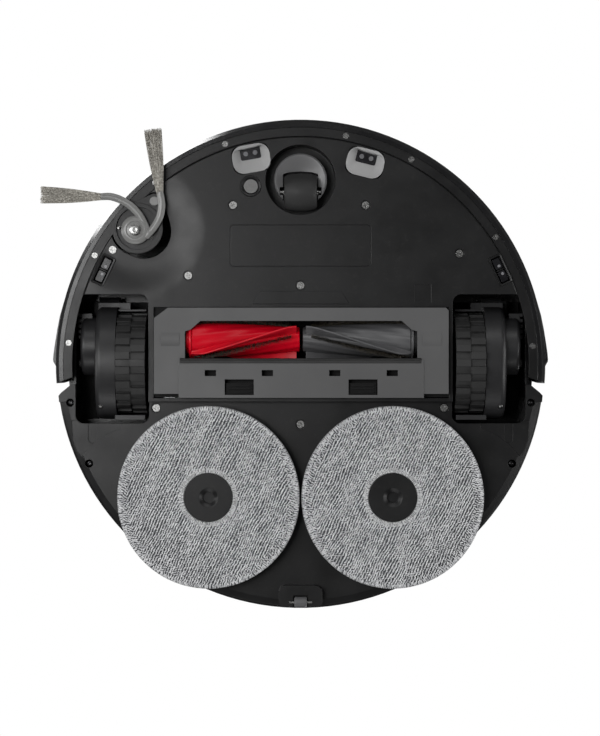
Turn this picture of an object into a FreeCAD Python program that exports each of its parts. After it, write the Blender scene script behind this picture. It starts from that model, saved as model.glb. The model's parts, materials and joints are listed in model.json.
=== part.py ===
"""Robot vacuum cleaner with two rotating mop pads, a split brush roll and a swing-out side brush.

Millimetres, +Z up. The origin is the centre of the round body on the floor. The front, with the
bumper and the caster, faces -Y. Left means -X and right means +X throughout.
"""
import FreeCAD, Part
import math
import os

V = FreeCAD.Vector
os.makedirs("parts", exist_ok=True)

# Body: heights above the floor, radii about the vertical axis
BODY_R = 175.0            # outer radius of the round body
BODY_TOP = 80.0           # deck height
TURRET_TOP = 97.0         # overall height
SKIN = 2.5                # wall of the mouldings
FLOOR_Z = 10.0            # underside of the front floor: ground clearance
BAY_Z = 19.0              # underside of the raised rear floor over the mop pads
FLOOR_R = 162.3           # edge of the front floor, inside the bumper
REAR_R = 174.6            # rear wall
STEP_Y = 26.5             # the floor steps up to the mop bay behind this line
PAN_TOP = 22.0            # upper edge of the base pan's rear wall
COVER_Z = 77.6            # underside of the top cover
FIT = 0.05                # radial running clearance of shafts

# Bumper
BUMPER_TRAVEL = 3.5
BUMPER_WALL = 2.7
BUMPER_Z = (12.8, 76.8)
BUMPER_END_Y = 14.0       # the bumper wraps the front half to just behind the centre line
BUMPER_SLANT = ((155.0, 6.4), (180.0, 15.6))  # slanted end of the bumper
REAR_CORNER = ((164.2, 14.4), (171.2, 20.1), (173.2, 22.4))  # outline where the rear body begins
CORNER_WALL = ((170.6, 23.2), (169.8, 21.8), (163.4, 16.6))
RING_R = 162.8            # visible inner edge of the bumper's lower ring
RING_OUT = 168.9
RING_SCREW_R = 166.0
RING_SCREW_ANGLES = (11.2, 28.4, 56.9, 85.5, -18.9, -38.6, -62.1, -84.7)

BUMPER_FLARE = ((168.0, -45), (169.1, -45), (172.0, -35), (174.0, -25), (175.6, -15), (176.6, -8), (177.0, -3.5),
                (176.8, -2), (175.0, 1.2), (173.5, 1.2), (173.0, -14), (171.0, -35))

# Drive wheels
WHEEL_Y = -1.0
WHEEL_R = 36.0
WHEEL_X = (110.5, 131.3)
RIM_R = 29.0
AXLE_R = 3.0
ARM_X = (131.8, 146.6)
ARM_PIVOT = (-40.0, 54.0)  # Y, Z of the drop-arm hinge
ARM_HALF = (40.4, 30.0)   # half length and half height of the gearbox case
MOTOR_CAP_R = 21.0
MOTOR_CAP_X = 157.4
AXLE_END_X = 159.8
WELL = (108.3, 161.0, -49.9, 42.3)
WELL_TOP = 76.5
RAMP = ((129.0, 40), (129.0, 46), (135.0, 48.4), (141.0, 51.2), (147.0, 55.4), (152.0, 60.2), (156.4, 66),
        (160.0, 62), (162.8, 54), (163.6, 44), (163.8, 40))  # shallow recess behind each well

# Caster
CASTER_Y = -131.4
CASTER_AXLE_Y = -122.6
CASTER_R = 13.5
CASTER_HALF = 12.0
CASTER_CUP_R = 25.0
CASTER_CUP_TOP = 30.0

# Brush rolls, chamber and guard
ROLL_Y = -17.7
ROLL_Z = 18.9
ROLL_R = 18.0
ROLL_LEFT_X = (-79.6, -0.9)
ROLL_RIGHT_X = (1.9, 80.7)
CORE_R = (12.8, 8.4)       # a roll core's radius at its outer and inner end
BLADE_END_R = 14.0        # tip radius of a blade right at its outer end
BLADE_RISE = 10.0         # length over which the tip rises to ROLL_R
BLADE_START = -43.0       # degrees about X from +Y, at a roll's outer end
BLADE_TURN = -85.0        # twist from the outer end to the inner end
CHAMBER_R = 20.5
GUARD = (-104.0, 105.0, -40.2, 21.0)
GUARD_Z = (4.4, 9.6)
MOUTH = (-82.0, 82.8, -30.8, -4.3)
FLAP = (-86.4, 87.4, -4.3, 23.8)
FLAP_Z = 3.8
GUARD_HINGE = (-39.2, 8.6)
LATCH_X = (-43.5, 44.3)
LATCH_TRAVEL = 2.0

# Mop pads
MOP_X = 65.3
MOP_Y = 94.3
PAD_R = 64.8
PAD_THICK = 6.0
HUB_R = 17.2
MOP_LIFT = 9.4

# Side brush
BRUSH_X, BRUSH_Y = -117.2, -95.3
POD_X, POD_Y, POD_R = -115.9, -96.7, 18.0
SWING_X, SWING_Y = -104.0, -116.0
SWING_BACK = 12.0         # degrees that the side brush swings back into the body

# Sensors
CARPET = (-35.4, -126.8)
FRONT_CLIFF = ((-35.1, -146.5, -10.0), (46.0, -143.5, 14.0))
SIDE_CLIFF = ((-140.5, -67.2, -25.0), (142.2, -67.2, 25.0))

# Screws in the underside, with the floor height each one sits in
FLOOR_SCREWS = ((-48.0, -113.3), (46.4, -113.3), (-79.9, -63.2), (0.0, -56.1), (113.1, -78.8),
                (-133.7, -81.6))
BAY_SCREWS = ((-103.2, 31.2), (102.7, 31.2), (0.0, 43.0))
DEEP_SCREWS = ((-164.9, 27.4), (164.9, 27.4), (-151.3, 71.0), (151.3, 71.0))
SCREW_HEAD_R = 2.7
SCREW_HEAD = 1.0
SCREW_SINK_R = 3.5
SHANK_R = 1.4
SHANK = 7.0

# Top of the body
TURRET_Y = 88.0
TURRET_R = 42.0
LID = (-81.5, 81.5, -61.5, 39.2)
LID_HINGE = (37.6, 78.8)
BUTTONS = ((-13.0, -128.0, 7.0), (13.0, -128.0, 7.0))


def box(x0, x1, y0, y1, z0, z1):
    return Part.makeBox(x1 - x0, y1 - y0, z1 - z0, V(x0, y0, z0))


def rbox(x0, x1, y0, y1, z0, z1, r):
    """Box with its vertical edges rounded."""
    solid = box(x0, x1, y0, y1, z0, z1)
    upright = [e for e in solid.Edges if abs(e.Vertexes[0].Z - e.Vertexes[1].Z) > (z1 - z0) / 2]
    return solid.makeFillet(r, upright)


def cyl(x, y, z0, z1, r):
    return Part.makeCylinder(r, z1 - z0, V(x, y, z0))


def cylx(x0, x1, y, z, r):
    """Cylinder along X."""
    low, high = min(x0, x1), max(x0, x1)
    return Part.makeCylinder(r, high - low, V(low, y, z), V(1, 0, 0))


def tube(x, y, z0, z1, r_out, r_in):
    return cyl(x, y, z0, z1, r_out).cut(cyl(x, y, z0 - 1, z1 + 1, r_in))


def prism(points, z0, z1):
    """Straight extrusion of a plan outline."""
    corners = [V(x, y, z0) for x, y in points]
    return Part.Face(Part.makePolygon(corners + corners[:1])).extrude(V(0, 0, z1 - z0))


def prism_x(points, x0, x1):
    """Straight extrusion along X of an outline given as (y, z)."""
    corners = [V(x0, y, z) for y, z in points]
    return Part.Face(Part.makePolygon(corners + corners[:1])).extrude(V(x1 - x0, 0, 0))


def revolve(profile, x, y):
    """Full turn of an (r, z) outline about the vertical through x, y."""
    corners = [V(x + r, y, z) for r, z in profile]
    face = Part.Face(Part.makePolygon(corners + corners[:1]))
    return face.revolve(V(x, y, 0), V(0, 0, 1), 360)


def turned_x(profile, y, z):
    """Full turn of an (x, r) outline about the line along X through y, z."""
    corners = [V(x, y + r, z) for x, r in profile]
    face = Part.Face(Part.makePolygon(corners + corners[:1]))
    return face.revolve(V(0, y, z), V(1, 0, 0), 360)


def link(x0, y0, r0, x1, y1, r1, z0, z1):
    """Plan outline of two circles joined by their outer tangents, extruded."""
    span = math.hypot(x1 - x0, y1 - y0)
    heading = math.atan2(y1 - y0, x1 - x0)
    lean = math.acos((r0 - r1) / span)
    corners = []
    for x, y, r, side in ((x0, y0, r0, 1), (x1, y1, r1, 1), (x1, y1, r1, -1), (x0, y0, r0, -1)):
        angle = heading + side * lean
        corners.append((x + r * math.cos(angle), y + r * math.sin(angle)))
    web = prism(corners, z0, z1)
    return web.multiFuse([cyl(x0, y0, z0, z1, r0), cyl(x1, y1, z0, z1, r1)]).removeSplitter()


def fuse(first, *others):
    return first.multiFuse(list(others)).removeSplitter()


def spun(shape, x, y, degrees):
    shape = shape.copy()
    shape.rotate(V(x, y, 0), V(0, 0, 1), degrees)
    return shape


def mirrored(shape):
    return shape.mirror(V(0, 0, 0), V(1, 0, 0))


def on_side(shape, side):
    """A shape drawn on the right, +X, put on the right (side 1) or the left (side -1)."""
    return shape if side > 0 else mirrored(shape)


def group(solids):
    return Part.makeCompound(solids)


def polar(radius, degrees):
    """Point at an angle from the front, -Y, towards +X."""
    a = math.radians(degrees)
    return radius * math.sin(a), -radius * math.cos(a)


def save(name, shape):
    if not shape.isValid():
        raise ValueError(name + " is not a valid solid")
    shape.exportStep("parts/" + name + ".step")
    print(name, len(shape.Solids), round(shape.Volume / 1000, 2), "cm3")


def front_half(z0, z1, y_end):
    return box(-BODY_R - 5, BODY_R + 5, -BODY_R - 5, y_end, z0, z1)


def rear_half(z0, z1, y_start):
    return box(-BODY_R - 5, BODY_R + 5, y_start, BODY_R + 5, z0, z1)


def pod_centre(swing):
    """Centre of the side brush's pod when it is swung by so many degrees."""
    a = math.radians(swing)
    dx, dy = POD_X - SWING_X, POD_Y - SWING_Y
    return SWING_X + dx * math.cos(a) - dy * math.sin(a), SWING_Y + dx * math.sin(a) + dy * math.cos(a)


def brush_dish():
    """Shallow dish around the side brush, with a soft S-shaped flank."""
    depth, inner, outer, steps = 2.0, 24.0, 50.0, 16
    flank = []
    for i in range(steps + 1):
        t = i / steps
        flank.append((inner + (outer - inner) * t, FLOOR_Z + depth * (0.5 + 0.5 * math.cos(math.pi * t))))
    return revolve([(0, FLOOR_Z - 1), (0, FLOOR_Z + depth)] + flank + [(outer, FLOOR_Z - 1)], BRUSH_X, BRUSH_Y)


def rounded_slot(x, y, length, width, angle, z0, z1, r):
    slot = rbox(x - length / 2, x + length / 2, y - width / 2, y + width / 2, z0, z1, r)
    return spun(slot, x, y, angle)


def screw_seat(x, y, z):
    """Counterbore and shank hole seen from below."""
    return fuse(cyl(x, y, z - 1, z + SCREW_HEAD + 0.4, SCREW_SINK_R), cyl(x, y, z, z + SHANK + 3, SHANK_R + FIT))


def base_pan():
    floor = cyl(0, 0, FLOOR_Z, FLOOR_Z + SKIN, FLOOR_R).common(front_half(0, 50, STEP_Y))
    floor = floor.makeChamfer(1.0, [e for e in floor.Edges if e.BoundBox.ZMax < FLOOR_Z + 0.1
                                    and e.BoundBox.YMin < -FLOOR_R + 1])
    shoulder = REAR_R - 6.0
    bay = revolve([(0, BAY_Z), (shoulder, BAY_Z), (shoulder + 4.2, BAY_Z + 1.2), (REAR_R, BAY_Z + 3),
                   (REAR_R, PAN_TOP + 2), (REAR_R - SKIN, PAN_TOP + 2), (REAR_R - SKIN, BAY_Z + 4.2),
                   (shoulder, BAY_Z + SKIN), (0, BAY_Z + SKIN)], 0, 0).common(rear_half(0, 50, STEP_Y - SKIN))
    step = box(-FLOOR_R + 4, FLOOR_R - 4, STEP_Y - SKIN, STEP_Y, FLOOR_Z, BAY_Z + SKIN)
    dish_floor = cyl(BRUSH_X, BRUSH_Y, FLOOR_Z + 2, FLOOR_Z + SKIN + 2, 52).common(
        cyl(0, 0, 0, 50, FLOOR_R - 3.6))
    cup = tube(0, CASTER_Y, FLOOR_Z, CASTER_CUP_TOP + SKIN, CASTER_CUP_R + 2.2, CASTER_CUP_R)
    cup_top = cyl(0, CASTER_Y, CASTER_CUP_TOP, CASTER_CUP_TOP + SKIN, CASTER_CUP_R + 1)
    wall = tube(0, 0, FLOOR_Z + SKIN - 0.5, 30, 153.5, 151).common(front_half(0, 50, -52))
    dome = rbox(-15.5, 15.5, 157.5, REAR_R - 1.2, 9.5, BAY_Z + 0.5, 5).common(cyl(0, 0, 0, 60, REAR_R - 1.5))
    bosses = [cyl(x, y, FLOOR_Z + SKIN - 0.5, FLOOR_Z + SHANK + 2, 3.6) for x, y in FLOOR_SCREWS]
    bosses += [cyl(x, y, BAY_Z + SKIN - 0.5, BAY_Z + SHANK + 2, 3.6) for x, y in BAY_SCREWS]
    lug = [(161.0, 14.4)] + list(REAR_CORNER) + [(172.8, 27), (161.0, 27)]
    lugs = [prism([(side * x, y) for x, y in lug], BAY_Z, PAN_TOP + 2) for side in (1, -1)]
    pan = fuse(floor, bay, step, dish_floor, cup, cup_top, wall, dome, *bosses, *lugs)
    cuts = [brush_dish(), cyl(0, CASTER_Y, 0, CASTER_CUP_TOP, CASTER_CUP_R),
            cyl(0, CASTER_Y, 20, 50, 9.0)]
    cuts.append(box(GUARD[0] - 0.5, GUARD[1] + 0.5, GUARD[2] - 0.5, FLAP[3] + 0.2, 0, FLOOR_Z + SKIN + 1))
    for side in (1, -1):
        cuts.append(on_side(rbox(WELL[0], WELL[1], WELL[2], WELL[3], 0, 60, 6), side))
        cuts.append(prism([(side * x, y) for x, y in RAMP], BAY_Z - 4, BAY_Z + 0.9))
        cuts.append(on_side(rbox(146, 152, 38, 56.4, BAY_Z - 4, BAY_Z + 1.6, 2.9), side))
        cuts.append(cyl(side * MOP_X, MOP_Y, 0, 60, 16))
    cuts.append(box(SWING_X, SWING_X + 20, SWING_Y - 3.4, SWING_Y + 3.4, FLOOR_Z + SKIN + 2.05, 60))
    rim = 1.5
    cuts.append(link(POD_X, POD_Y, POD_R + rim, SWING_X, SWING_Y, 6.6, 0, 60))
    back_x, back_y = pod_centre(-SWING_BACK)
    cuts.append(link(back_x, back_y, POD_R + rim, SWING_X, SWING_Y, 6.6, 0, 60))
    cuts.append(cyl(CARPET[0], CARPET[1], 0, 60, 7.6))
    for x, y, angle in FRONT_CLIFF:
        cuts.append(rounded_slot(x, y, 27.2, 20.2, angle, 0, 28, 6))
    for x, y, angle in SIDE_CLIFF:
        cuts.append(rounded_slot(x, y, 10.2, 22.2, -angle, 0, 28, 1.5))
    cuts += [screw_seat(x, y, FLOOR_Z) for x, y in FLOOR_SCREWS]
    cuts += [screw_seat(x, y, BAY_Z) for x, y in BAY_SCREWS]
    cuts += [cyl(x, y, 0, 60, 2.9) for x, y in DEEP_SCREWS]
    cuts += label_groove() + roller_pocket()
    pan = pan.cut(group([c for c in cuts]))
    tab = prism([(-34.7, -43), (34.7, -43), (29, -52), (-29, -52)], FLOOR_Z - 0.4, FLOOR_Z + 0.2)
    pan = fuse(pan, tab)
    return max(pan.Solids, key=lambda s: s.Volume)


def label_groove():
    """Thin outline of the plain rating area, and the small square recess beside it."""
    width, depth = 0.6, 0.4
    outer = rbox(-50.3, 50.3, -99.5, -69.4, FLOOR_Z - 1, FLOOR_Z + depth, 3)
    inner = rbox(-50.3 + width, 50.3 - width, -99.5 + width, -69.4 - width, FLOOR_Z - 2, FLOOR_Z + 2, 2.6)
    square = box(81, 93, -56.8, -44.1, FLOOR_Z - 1, FLOOR_Z + depth)
    return [outer.cut(inner), square]


def roller_pocket():
    """Pocket of the small rear roller and the slots that hold its axle."""
    pocket = box(-5.2, 5.2, 164.4, 176, 0, 15)
    axle = fuse(cylx(-8.3, 8.3, 169.2, 9.4, 0.78), box(-8.3, 8.3, 168.42, 169.98, 0, 9.4))
    return [pocket, axle]


def side_shell():
    """Upright wall of the body: behind the bumper at the front, outside at the rear."""
    z0, z1 = PAN_TOP + 2.1, COVER_Z - 0.1
    rear = tube(0, 0, z0, z1, REAR_R, REAR_R - SKIN).common(rear_half(0, 99, 22.0))
    front = tube(0, 0, 30.1, z1, 153.5, 151).common(front_half(0, 99, -52))
    cheeks = []
    for side in (1, -1):
        x = side * 163.4
        cheeks.append(box(min(x, x - side * 1.8), max(x, x - side * 1.8), -50, 24, 30.1, z1).common(
            cyl(0, 0, 0, 99, 168)))
        corner = [(161.6, 14.4)] + list(REAR_CORNER) + [(173.2, 24.5), (170.6, 24.5)] + list(CORNER_WALL)
        cheeks.append(prism([(side * px, py) for px, py in corner + [(161.6, 16.6)]], z0, z1))
        cheeks.append(on_side(box(145, 163.4, -52.4, -50, 30.1, z1), side).common(cyl(0, 0, 0, 99, 168)))
    shell = fuse(rear, front, *cheeks)
    ports = [box(x - 9, x + 9, 160, 180, 29.9, 44.1) for x in (-34, 34)]
    shell = shell.cut(group(ports))
    return max(shell.Solids, key=lambda s: s.Volume)


def charging_contacts():
    """Two metal strips in the rear wall."""
    return group([tube(0, 0, 30, 44, REAR_R + 0.2, REAR_R - 1.2).common(box(x - 8.9, x + 8.9, 160, 180, 0, 99))
                  for x in (-34, 34)])


def top_cover():
    front_r, edge = BODY_R - 3.0, 1.6
    front = revolve([(0, COVER_Z), (front_r, COVER_Z), (front_r, BODY_TOP - edge), (front_r - edge, BODY_TOP),
                     (0, BODY_TOP)], 0, 0)
    rear = revolve([(0, COVER_Z), (REAR_R, COVER_Z), (REAR_R, BODY_TOP - edge), (REAR_R - edge, BODY_TOP),
                    (0, BODY_TOP)], 0, 0).common(rear_half(0, 99, 22))
    collar = revolve([(TURRET_R - 0.5, COVER_Z), (TURRET_R + 6, COVER_Z), (TURRET_R + 3, BODY_TOP + 3.5),
                      (TURRET_R - 0.5, BODY_TOP + 3.5)], 0, TURRET_Y)
    cover = fuse(front, rear, collar)
    cuts = [cyl(0, TURRET_Y, 0, 99, TURRET_R - 0.5),
            rbox(LID[0] - 0.5, LID[1] + 0.5, LID[2] - 0.5, LID[3] + 0.8, 0, 99, 3)]
    cuts += [cyl(x, y, 0, 99, r + 0.3) for x, y, r in BUTTONS]
    cuts.append(cylx(LID[0] - 3.2, LID[1] + 3.2, *LID_HINGE, 0.6 + FIT))
    return cover.cut(group(cuts))


def top_lid():
    plate = rbox(*LID, COVER_Z + 0.1, BODY_TOP, 2.5)
    pins = [cylx(x, x + 9, *LID_HINGE, 0.6) for x in (LID[0] - 3, LID[1] - 6)]
    lid = fuse(plate, *pins)
    notch = rbox(-16, 16, LID[2] + 3, LID[2] + 13, BODY_TOP - 1.2, BODY_TOP + 1, 4)
    return lid.cut(notch)


def button(x, y, r):
    """Push button with its stem and a snap flange under the cover."""
    cap = cyl(x, y, COVER_Z - 0.2, BODY_TOP + 0.6, r)
    cap = cap.makeFillet(0.5, [e for e in cap.Edges if e.BoundBox.ZMin > BODY_TOP])
    flange = cyl(x, y, COVER_Z - 1.6, COVER_Z - 0.2, r + 1.2)
    stem = cyl(x, y, COVER_Z - 8, COVER_Z - 1.6, 1.8)
    return fuse(cap, flange, stem)


def bumper_slant(side):
    """What is cut off the bumper's end to leave it slanted."""
    (xa, ya), (xb, yb) = BUMPER_SLANT
    return prism([(side * x, y) for x, y in ((xa, ya), (xb, yb), (xb, 40), (xa, 40))], 0, 99)


def bumper_shell():
    """Curved front wall with a turned-in lower edge and a lip along the top."""
    z0, z1 = BUMPER_Z
    inner = BODY_R - BUMPER_WALL
    profile = [(RING_OUT + 0.2, z0), (BODY_R - 2.8, z0), (BODY_R, z0 + 5.5), (BODY_R, z1 - 7),
               (BODY_R - 2.2, z1), (inner - 2.2, z1), (inner - 2.2, z1 - 1.5), (inner, z1 - 7),
               (inner, z0 + 5.5), (inner - 1.5, z0 + 2.2), (RING_OUT + 0.2, z0 + 2.2)]
    shell = revolve(profile, 0, 0).common(front_half(0, 99, BUMPER_END_Y))
    for side in (1, -1):
        flare = prism([(side * x, y) for x, y in BUMPER_FLARE], z0 + 5.5, z1 - 7)
        shell = shell.fuse(flare).cut(bumper_slant(side))
    window = box(-32, 32, -BODY_R - 1, -BODY_R + 9, 34, 56)
    return shell.cut(window).removeSplitter()


def bumper_window():
    """Dark window of the front obstacle sensor."""
    return tube(0, 0, 34.15, 55.85, BODY_R, BODY_R - BUMPER_WALL).common(box(-31.8, 31.8, -180, -165, 0, 99))


def bumper_ring():
    """Flat screwed ring along the bumper's lower edge; it slides in above the floor's edge."""
    z0, z1 = BUMPER_Z[0], BUMPER_Z[0] + 2.0
    ring = tube(0, 0, z0, z1, RING_OUT, RING_R).common(front_half(0, 99, BUMPER_END_Y))
    ring = ring.cut(group([bumper_slant(side) for side in (1, -1)]))
    holes = [cyl(*polar(RING_SCREW_R, a), 0, 99, SHANK_R) for a in RING_SCREW_ANGLES]
    sinks = [cyl(*polar(RING_SCREW_R, a), 0, z0 + 0.9, 2.3) for a in RING_SCREW_ANGLES]
    return ring.cut(group(holes + sinks))


def pan_head(x, y, z, head_r, head, shank_r, shank):
    """Screw standing head down, with a cross recess."""
    bolt = fuse(cyl(x, y, z, z + head, head_r), cyl(x, y, z + head, z + head + shank, shank_r))
    wide, slim = head_r * 0.62, 0.35
    cross = fuse(box(x - wide, x + wide, y - slim, y + slim, z - 1, z + head * 0.6),
                 box(x - slim, x + slim, y - wide, y + wide, z - 1, z + head * 0.6))
    return bolt.cut(spun(cross, x, y, (x * 7 + y * 3) % 90))


def bumper_screws():
    z = BUMPER_Z[0] + 0.05
    return group([pan_head(*polar(RING_SCREW_R, a), z, 2.1, 0.85, SHANK_R - FIT, 4.0)
                  for a in RING_SCREW_ANGLES])


def chassis_screws():
    screws = [pan_head(x, y, FLOOR_Z + 0.35, SCREW_HEAD_R, SCREW_HEAD, SHANK_R, SHANK) for x, y in FLOOR_SCREWS]
    screws += [pan_head(x, y, BAY_Z + 0.35, SCREW_HEAD_R, SCREW_HEAD, SHANK_R, SHANK) for x, y in BAY_SCREWS]
    return group(screws)


def caster_socket():
    """Metal bush that the caster's stem turns in."""
    bush = tube(0, CASTER_Y, CASTER_CUP_TOP, 44, 8.9, 4 + FIT)
    return fuse(bush, tube(0, CASTER_Y, CASTER_CUP_TOP + SKIN + 0.1, CASTER_CUP_TOP + SKIN + 2.5, 12, 4 + FIT))


def caster_fork():
    top = CASTER_CUP_TOP - 1.5
    drum = cyl(0, CASTER_Y, 8.0, top, 19.0)
    drum = drum.makeFillet(2.0, [e for e in drum.Edges if e.BoundBox.ZMax < 8.1])
    ears = rbox(-16, 16, CASTER_Y, CASTER_AXLE_Y + 5.5, 8.5, 22, 4)
    stem = cyl(0, CASTER_Y, top, 43, 4)
    fork = fuse(drum, ears, stem)
    pocket = box(-CASTER_HALF - 0.5, CASTER_HALF + 0.5, CASTER_AXLE_Y - 14.3, -100, 0, top - 1.5)
    bore = cylx(-14.2, 14.2, CASTER_AXLE_Y, CASTER_R, 1.5)
    return fork.cut(pocket).cut(bore)


def caster_axle():
    return cylx(-14.2, 14.2, CASTER_AXLE_Y, CASTER_R, 1.5)


def caster_wheel():
    """Barrel wheel with a shallow groove each side of its middle band."""
    h, r = CASTER_HALF, CASTER_R
    bore = 1.5 + FIT
    profile = [(-h, bore), (-h, 9.2), (-h + 2.5, 11.3), (-6.2, 12.9), (-5.6, 12.4), (-5.0, 13.1), (-3, r), (3, r),
               (5.0, 13.1), (5.6, 12.4), (6.2, 12.9), (h - 2.5, 11.3), (h, 9.2), (h, bore)]
    return turned_x(profile, CASTER_AXLE_Y, r)


def rear_roller():
    r, half = 3.8, 4.5
    profile = [(-half, 0.8), (-half, r - 0.8), (-half + 0.8, r), (half - 0.8, r), (half, r - 0.8), (half, 0.8)]
    return turned_x(profile, 169.2, 9.4)


def rear_roller_axle():
    return cylx(-8.2, 8.2, 169.2, 9.4, 0.75)


def carpet_sensor():
    """Metal disc of the sound transducer that tells carpet from hard floor."""
    return cyl(CARPET[0], CARPET[1], FLOOR_Z + 1.2, FLOOR_Z + 8, 5.0)


def floor_sensors():
    """Holders of the floor sensors: the carpet sensor's ring and four funnels with dark windows."""
    holders, windows = [tube(CARPET[0], CARPET[1], FLOOR_Z - 0.3, FLOOR_Z + 9, 7.5, 5.05)], []
    for x, y, angle in FRONT_CLIFF:
        body = rounded_slot(x, y, 27, 20, angle, FLOOR_Z + 0.2, FLOOR_Z + 9, 6)
        funnel = rounded_slot(x, y, 24, 17, angle, FLOOR_Z - 1, FLOOR_Z + 5, 5)
        shift = spun(Part.Vertex(x, y - 4.2, 0), x, y, angle).Point
        holders.append(body.cut(funnel))
        windows.append(rounded_slot(shift.x, shift.y, 14, 8, angle, FLOOR_Z + 3.4, FLOOR_Z + 4.9, 2.5))
    for x, y, angle in SIDE_CLIFF:
        body = rounded_slot(x, y, 10, 22, -angle, FLOOR_Z + 0.2, FLOOR_Z + 9, 1.5)
        holders.append(body.cut(rounded_slot(x, y, 7.6, 20, -angle, FLOOR_Z - 1, FLOOR_Z + 3, 1)))
        for offset in (-5.0, 5.0):
            shift = spun(Part.Vertex(x, y + offset, 0), x, y, -angle).Point
            windows.append(rounded_slot(shift.x, shift.y, 6, 9, -angle, FLOOR_Z + 1.0, FLOOR_Z + 2.5, 1.5))
    rim = tube(0, 0, FLOOR_Z + SKIN + 0.1, 99, BODY_R, FLOOR_R - 5.3)
    return group([holder.cut(rim) for holder in holders]), group(windows)


def wheel_bracket(side):
    """Fixed frame over the wheel well, with the hinge pin of the drop arm."""
    top = box(107, 161.2, -46, 40, WELL_TOP - 2.5, WELL_TOP - 0.5)
    inner = box(105.6, 108.0, -49, 42, BAY_Z + 9.2, WELL_TOP - 0.5)
    y, z = ARM_PIVOT
    ear = box(ARM_X[1] + 0.4, ARM_X[1] + 3.4, y - 6, y + 5.5, z - 6, WELL_TOP - 2)
    pin = cylx(ARM_X[0] + 0.2, ARM_X[1] + 3.2, y, z, 3.0)
    seat = tube(138.5, 20, WELL_TOP - 6, WELL_TOP - 2, 6.5, 4.6)
    return on_side(fuse(top, inner, ear, pin, seat), side)


def arm_case(x0, x1):
    """Gearbox case of oval outline, rounded along its outer edge."""
    oval = Part.Face(Part.Wire([Part.Ellipse(V(0, 0, 0), ARM_HALF[0], ARM_HALF[1]).toShape()]))
    oval.rotate(V(0, 0, 0), V(0, 0, 1), 90)
    oval.rotate(V(0, 0, 0), V(0, 1, 0), 90)
    oval.translate(V(x0, WHEEL_Y, WHEEL_R))
    case = oval.extrude(V(x1 - x0, 0, 0))
    return case.makeFillet(4.0, [e for e in case.Edges if e.BoundBox.XMin > x1 - 0.1])


def wheel_arm(side):
    """Gearbox housing that carries the wheel and drops about its front hinge."""
    y, z = ARM_PIVOT
    x0, x1 = ARM_X
    plate = fuse(arm_case(x0, x1), cylx(x0, x1, y, z, 9.0), box(x0, x1, y - 4.6, y + 20, z - 14, z + 9),
                 box(x0 - 8.6, x1 - 1, y - 4.6, y + 1.3, z - 14, z + 3), box(x0, x1, 12, 28, 50, 64))
    plate = plate.common(box(x0 - 9, x1, -49.2, 39.5, 5.0, 64.0))
    cap = cylx(x1, MOTOR_CAP_X, -13.0, WHEEL_R, MOTOR_CAP_R)
    cap = cap.makeFillet(3.0, [e for e in cap.Edges if e.BoundBox.XMin > MOTOR_CAP_X - 0.1])
    cap = cap.common(box(x1, 170, -50, 7.5, 0, 99))
    fender = box(WHEEL_X[0] + 0.5, x0 + 0.5, WHEEL_Y + WHEEL_R + 1.2, 39.5, 14, 44)
    bar = box(WHEEL_X[0] + 0.5, x0 + 0.5, WHEEL_Y - WHEEL_R - 2.6, WHEEL_Y - WHEEL_R - 1.2, 30, 42)
    gear = [box(150, 157.9, -36.6, -18, 30, 42)]
    gear += [box(156, 160.1, -36.6 + 3.9 * i, -34.3 + 3.9 * i, 30.5, 41.5) for i in range(5)]
    arm = fuse(plate, cap, fender, bar, *gear)
    bores = [cylx(x0 - 1, MOTOR_CAP_X + 1, WHEEL_Y, WHEEL_R, AXLE_R + FIT), cylx(x0 - 1, x1 + 1, y, z, 3 + FIT)]
    screw = cylx(x0 - 1, x0 + 3, 30.3, 22, 1.6)
    return on_side(arm.cut(group(bores + [screw])), side)


def wheel_spring(side):
    """Spring between the well's roof and the arm, drawn as a plain closed sleeve."""
    return on_side(tube(138.5, 20, 64.2, WELL_TOP - 2.7, 4.4, 2.6), side)


def wheel_hub(side):
    x0, x1 = WHEEL_X
    profile = [(x0 + 1, 0), (x0 + 1, 8), (x0 + 3, 10), (x0 + 3, 22), (x0 + 0.6, 24), (x0 + 0.6, RIM_R),
               (x1 - 0.6, RIM_R), (x1 - 0.6, 24), (x1 - 2, 22), (x1 - 2, AXLE_R), (AXLE_END_X, AXLE_R), (AXLE_END_X, 0)]
    return on_side(turned_x(profile, WHEEL_Y, WHEEL_R), side)


def tyre(side):
    """Rubber tyre with two rows of staggered lugs."""
    x0, x1 = WHEEL_X
    middle = (x0 + x1) / 2
    base_r, lugs = WHEEL_R - 2.4, 21
    body = cylx(x0, x1, WHEEL_Y, WHEEL_R, base_r)
    pitch = 360 / lugs
    blocks = []
    for row, (xa, xb) in enumerate(((x0, middle - 0.4), (middle + 0.4, x1))):
        for i in range(lugs):
            half = pitch * 0.27
            points = []
            for r, a in ((base_r - 1, -half), (WHEEL_R, -half * 0.88), (WHEEL_R, half * 0.88), (base_r - 1, half)):
                t = math.radians(a + pitch * (i + 0.5 * row) - 90)
                points.append((WHEEL_Y + r * math.cos(t), WHEEL_R + r * math.sin(t)))
            blocks.append(prism_x(points, xa, xb))
    rubber = body.multiFuse(blocks).cut(cylx(x0 - 1, x1 + 1, WHEEL_Y, WHEEL_R, RIM_R))
    return on_side(rubber.removeSplitter(), side)


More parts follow.
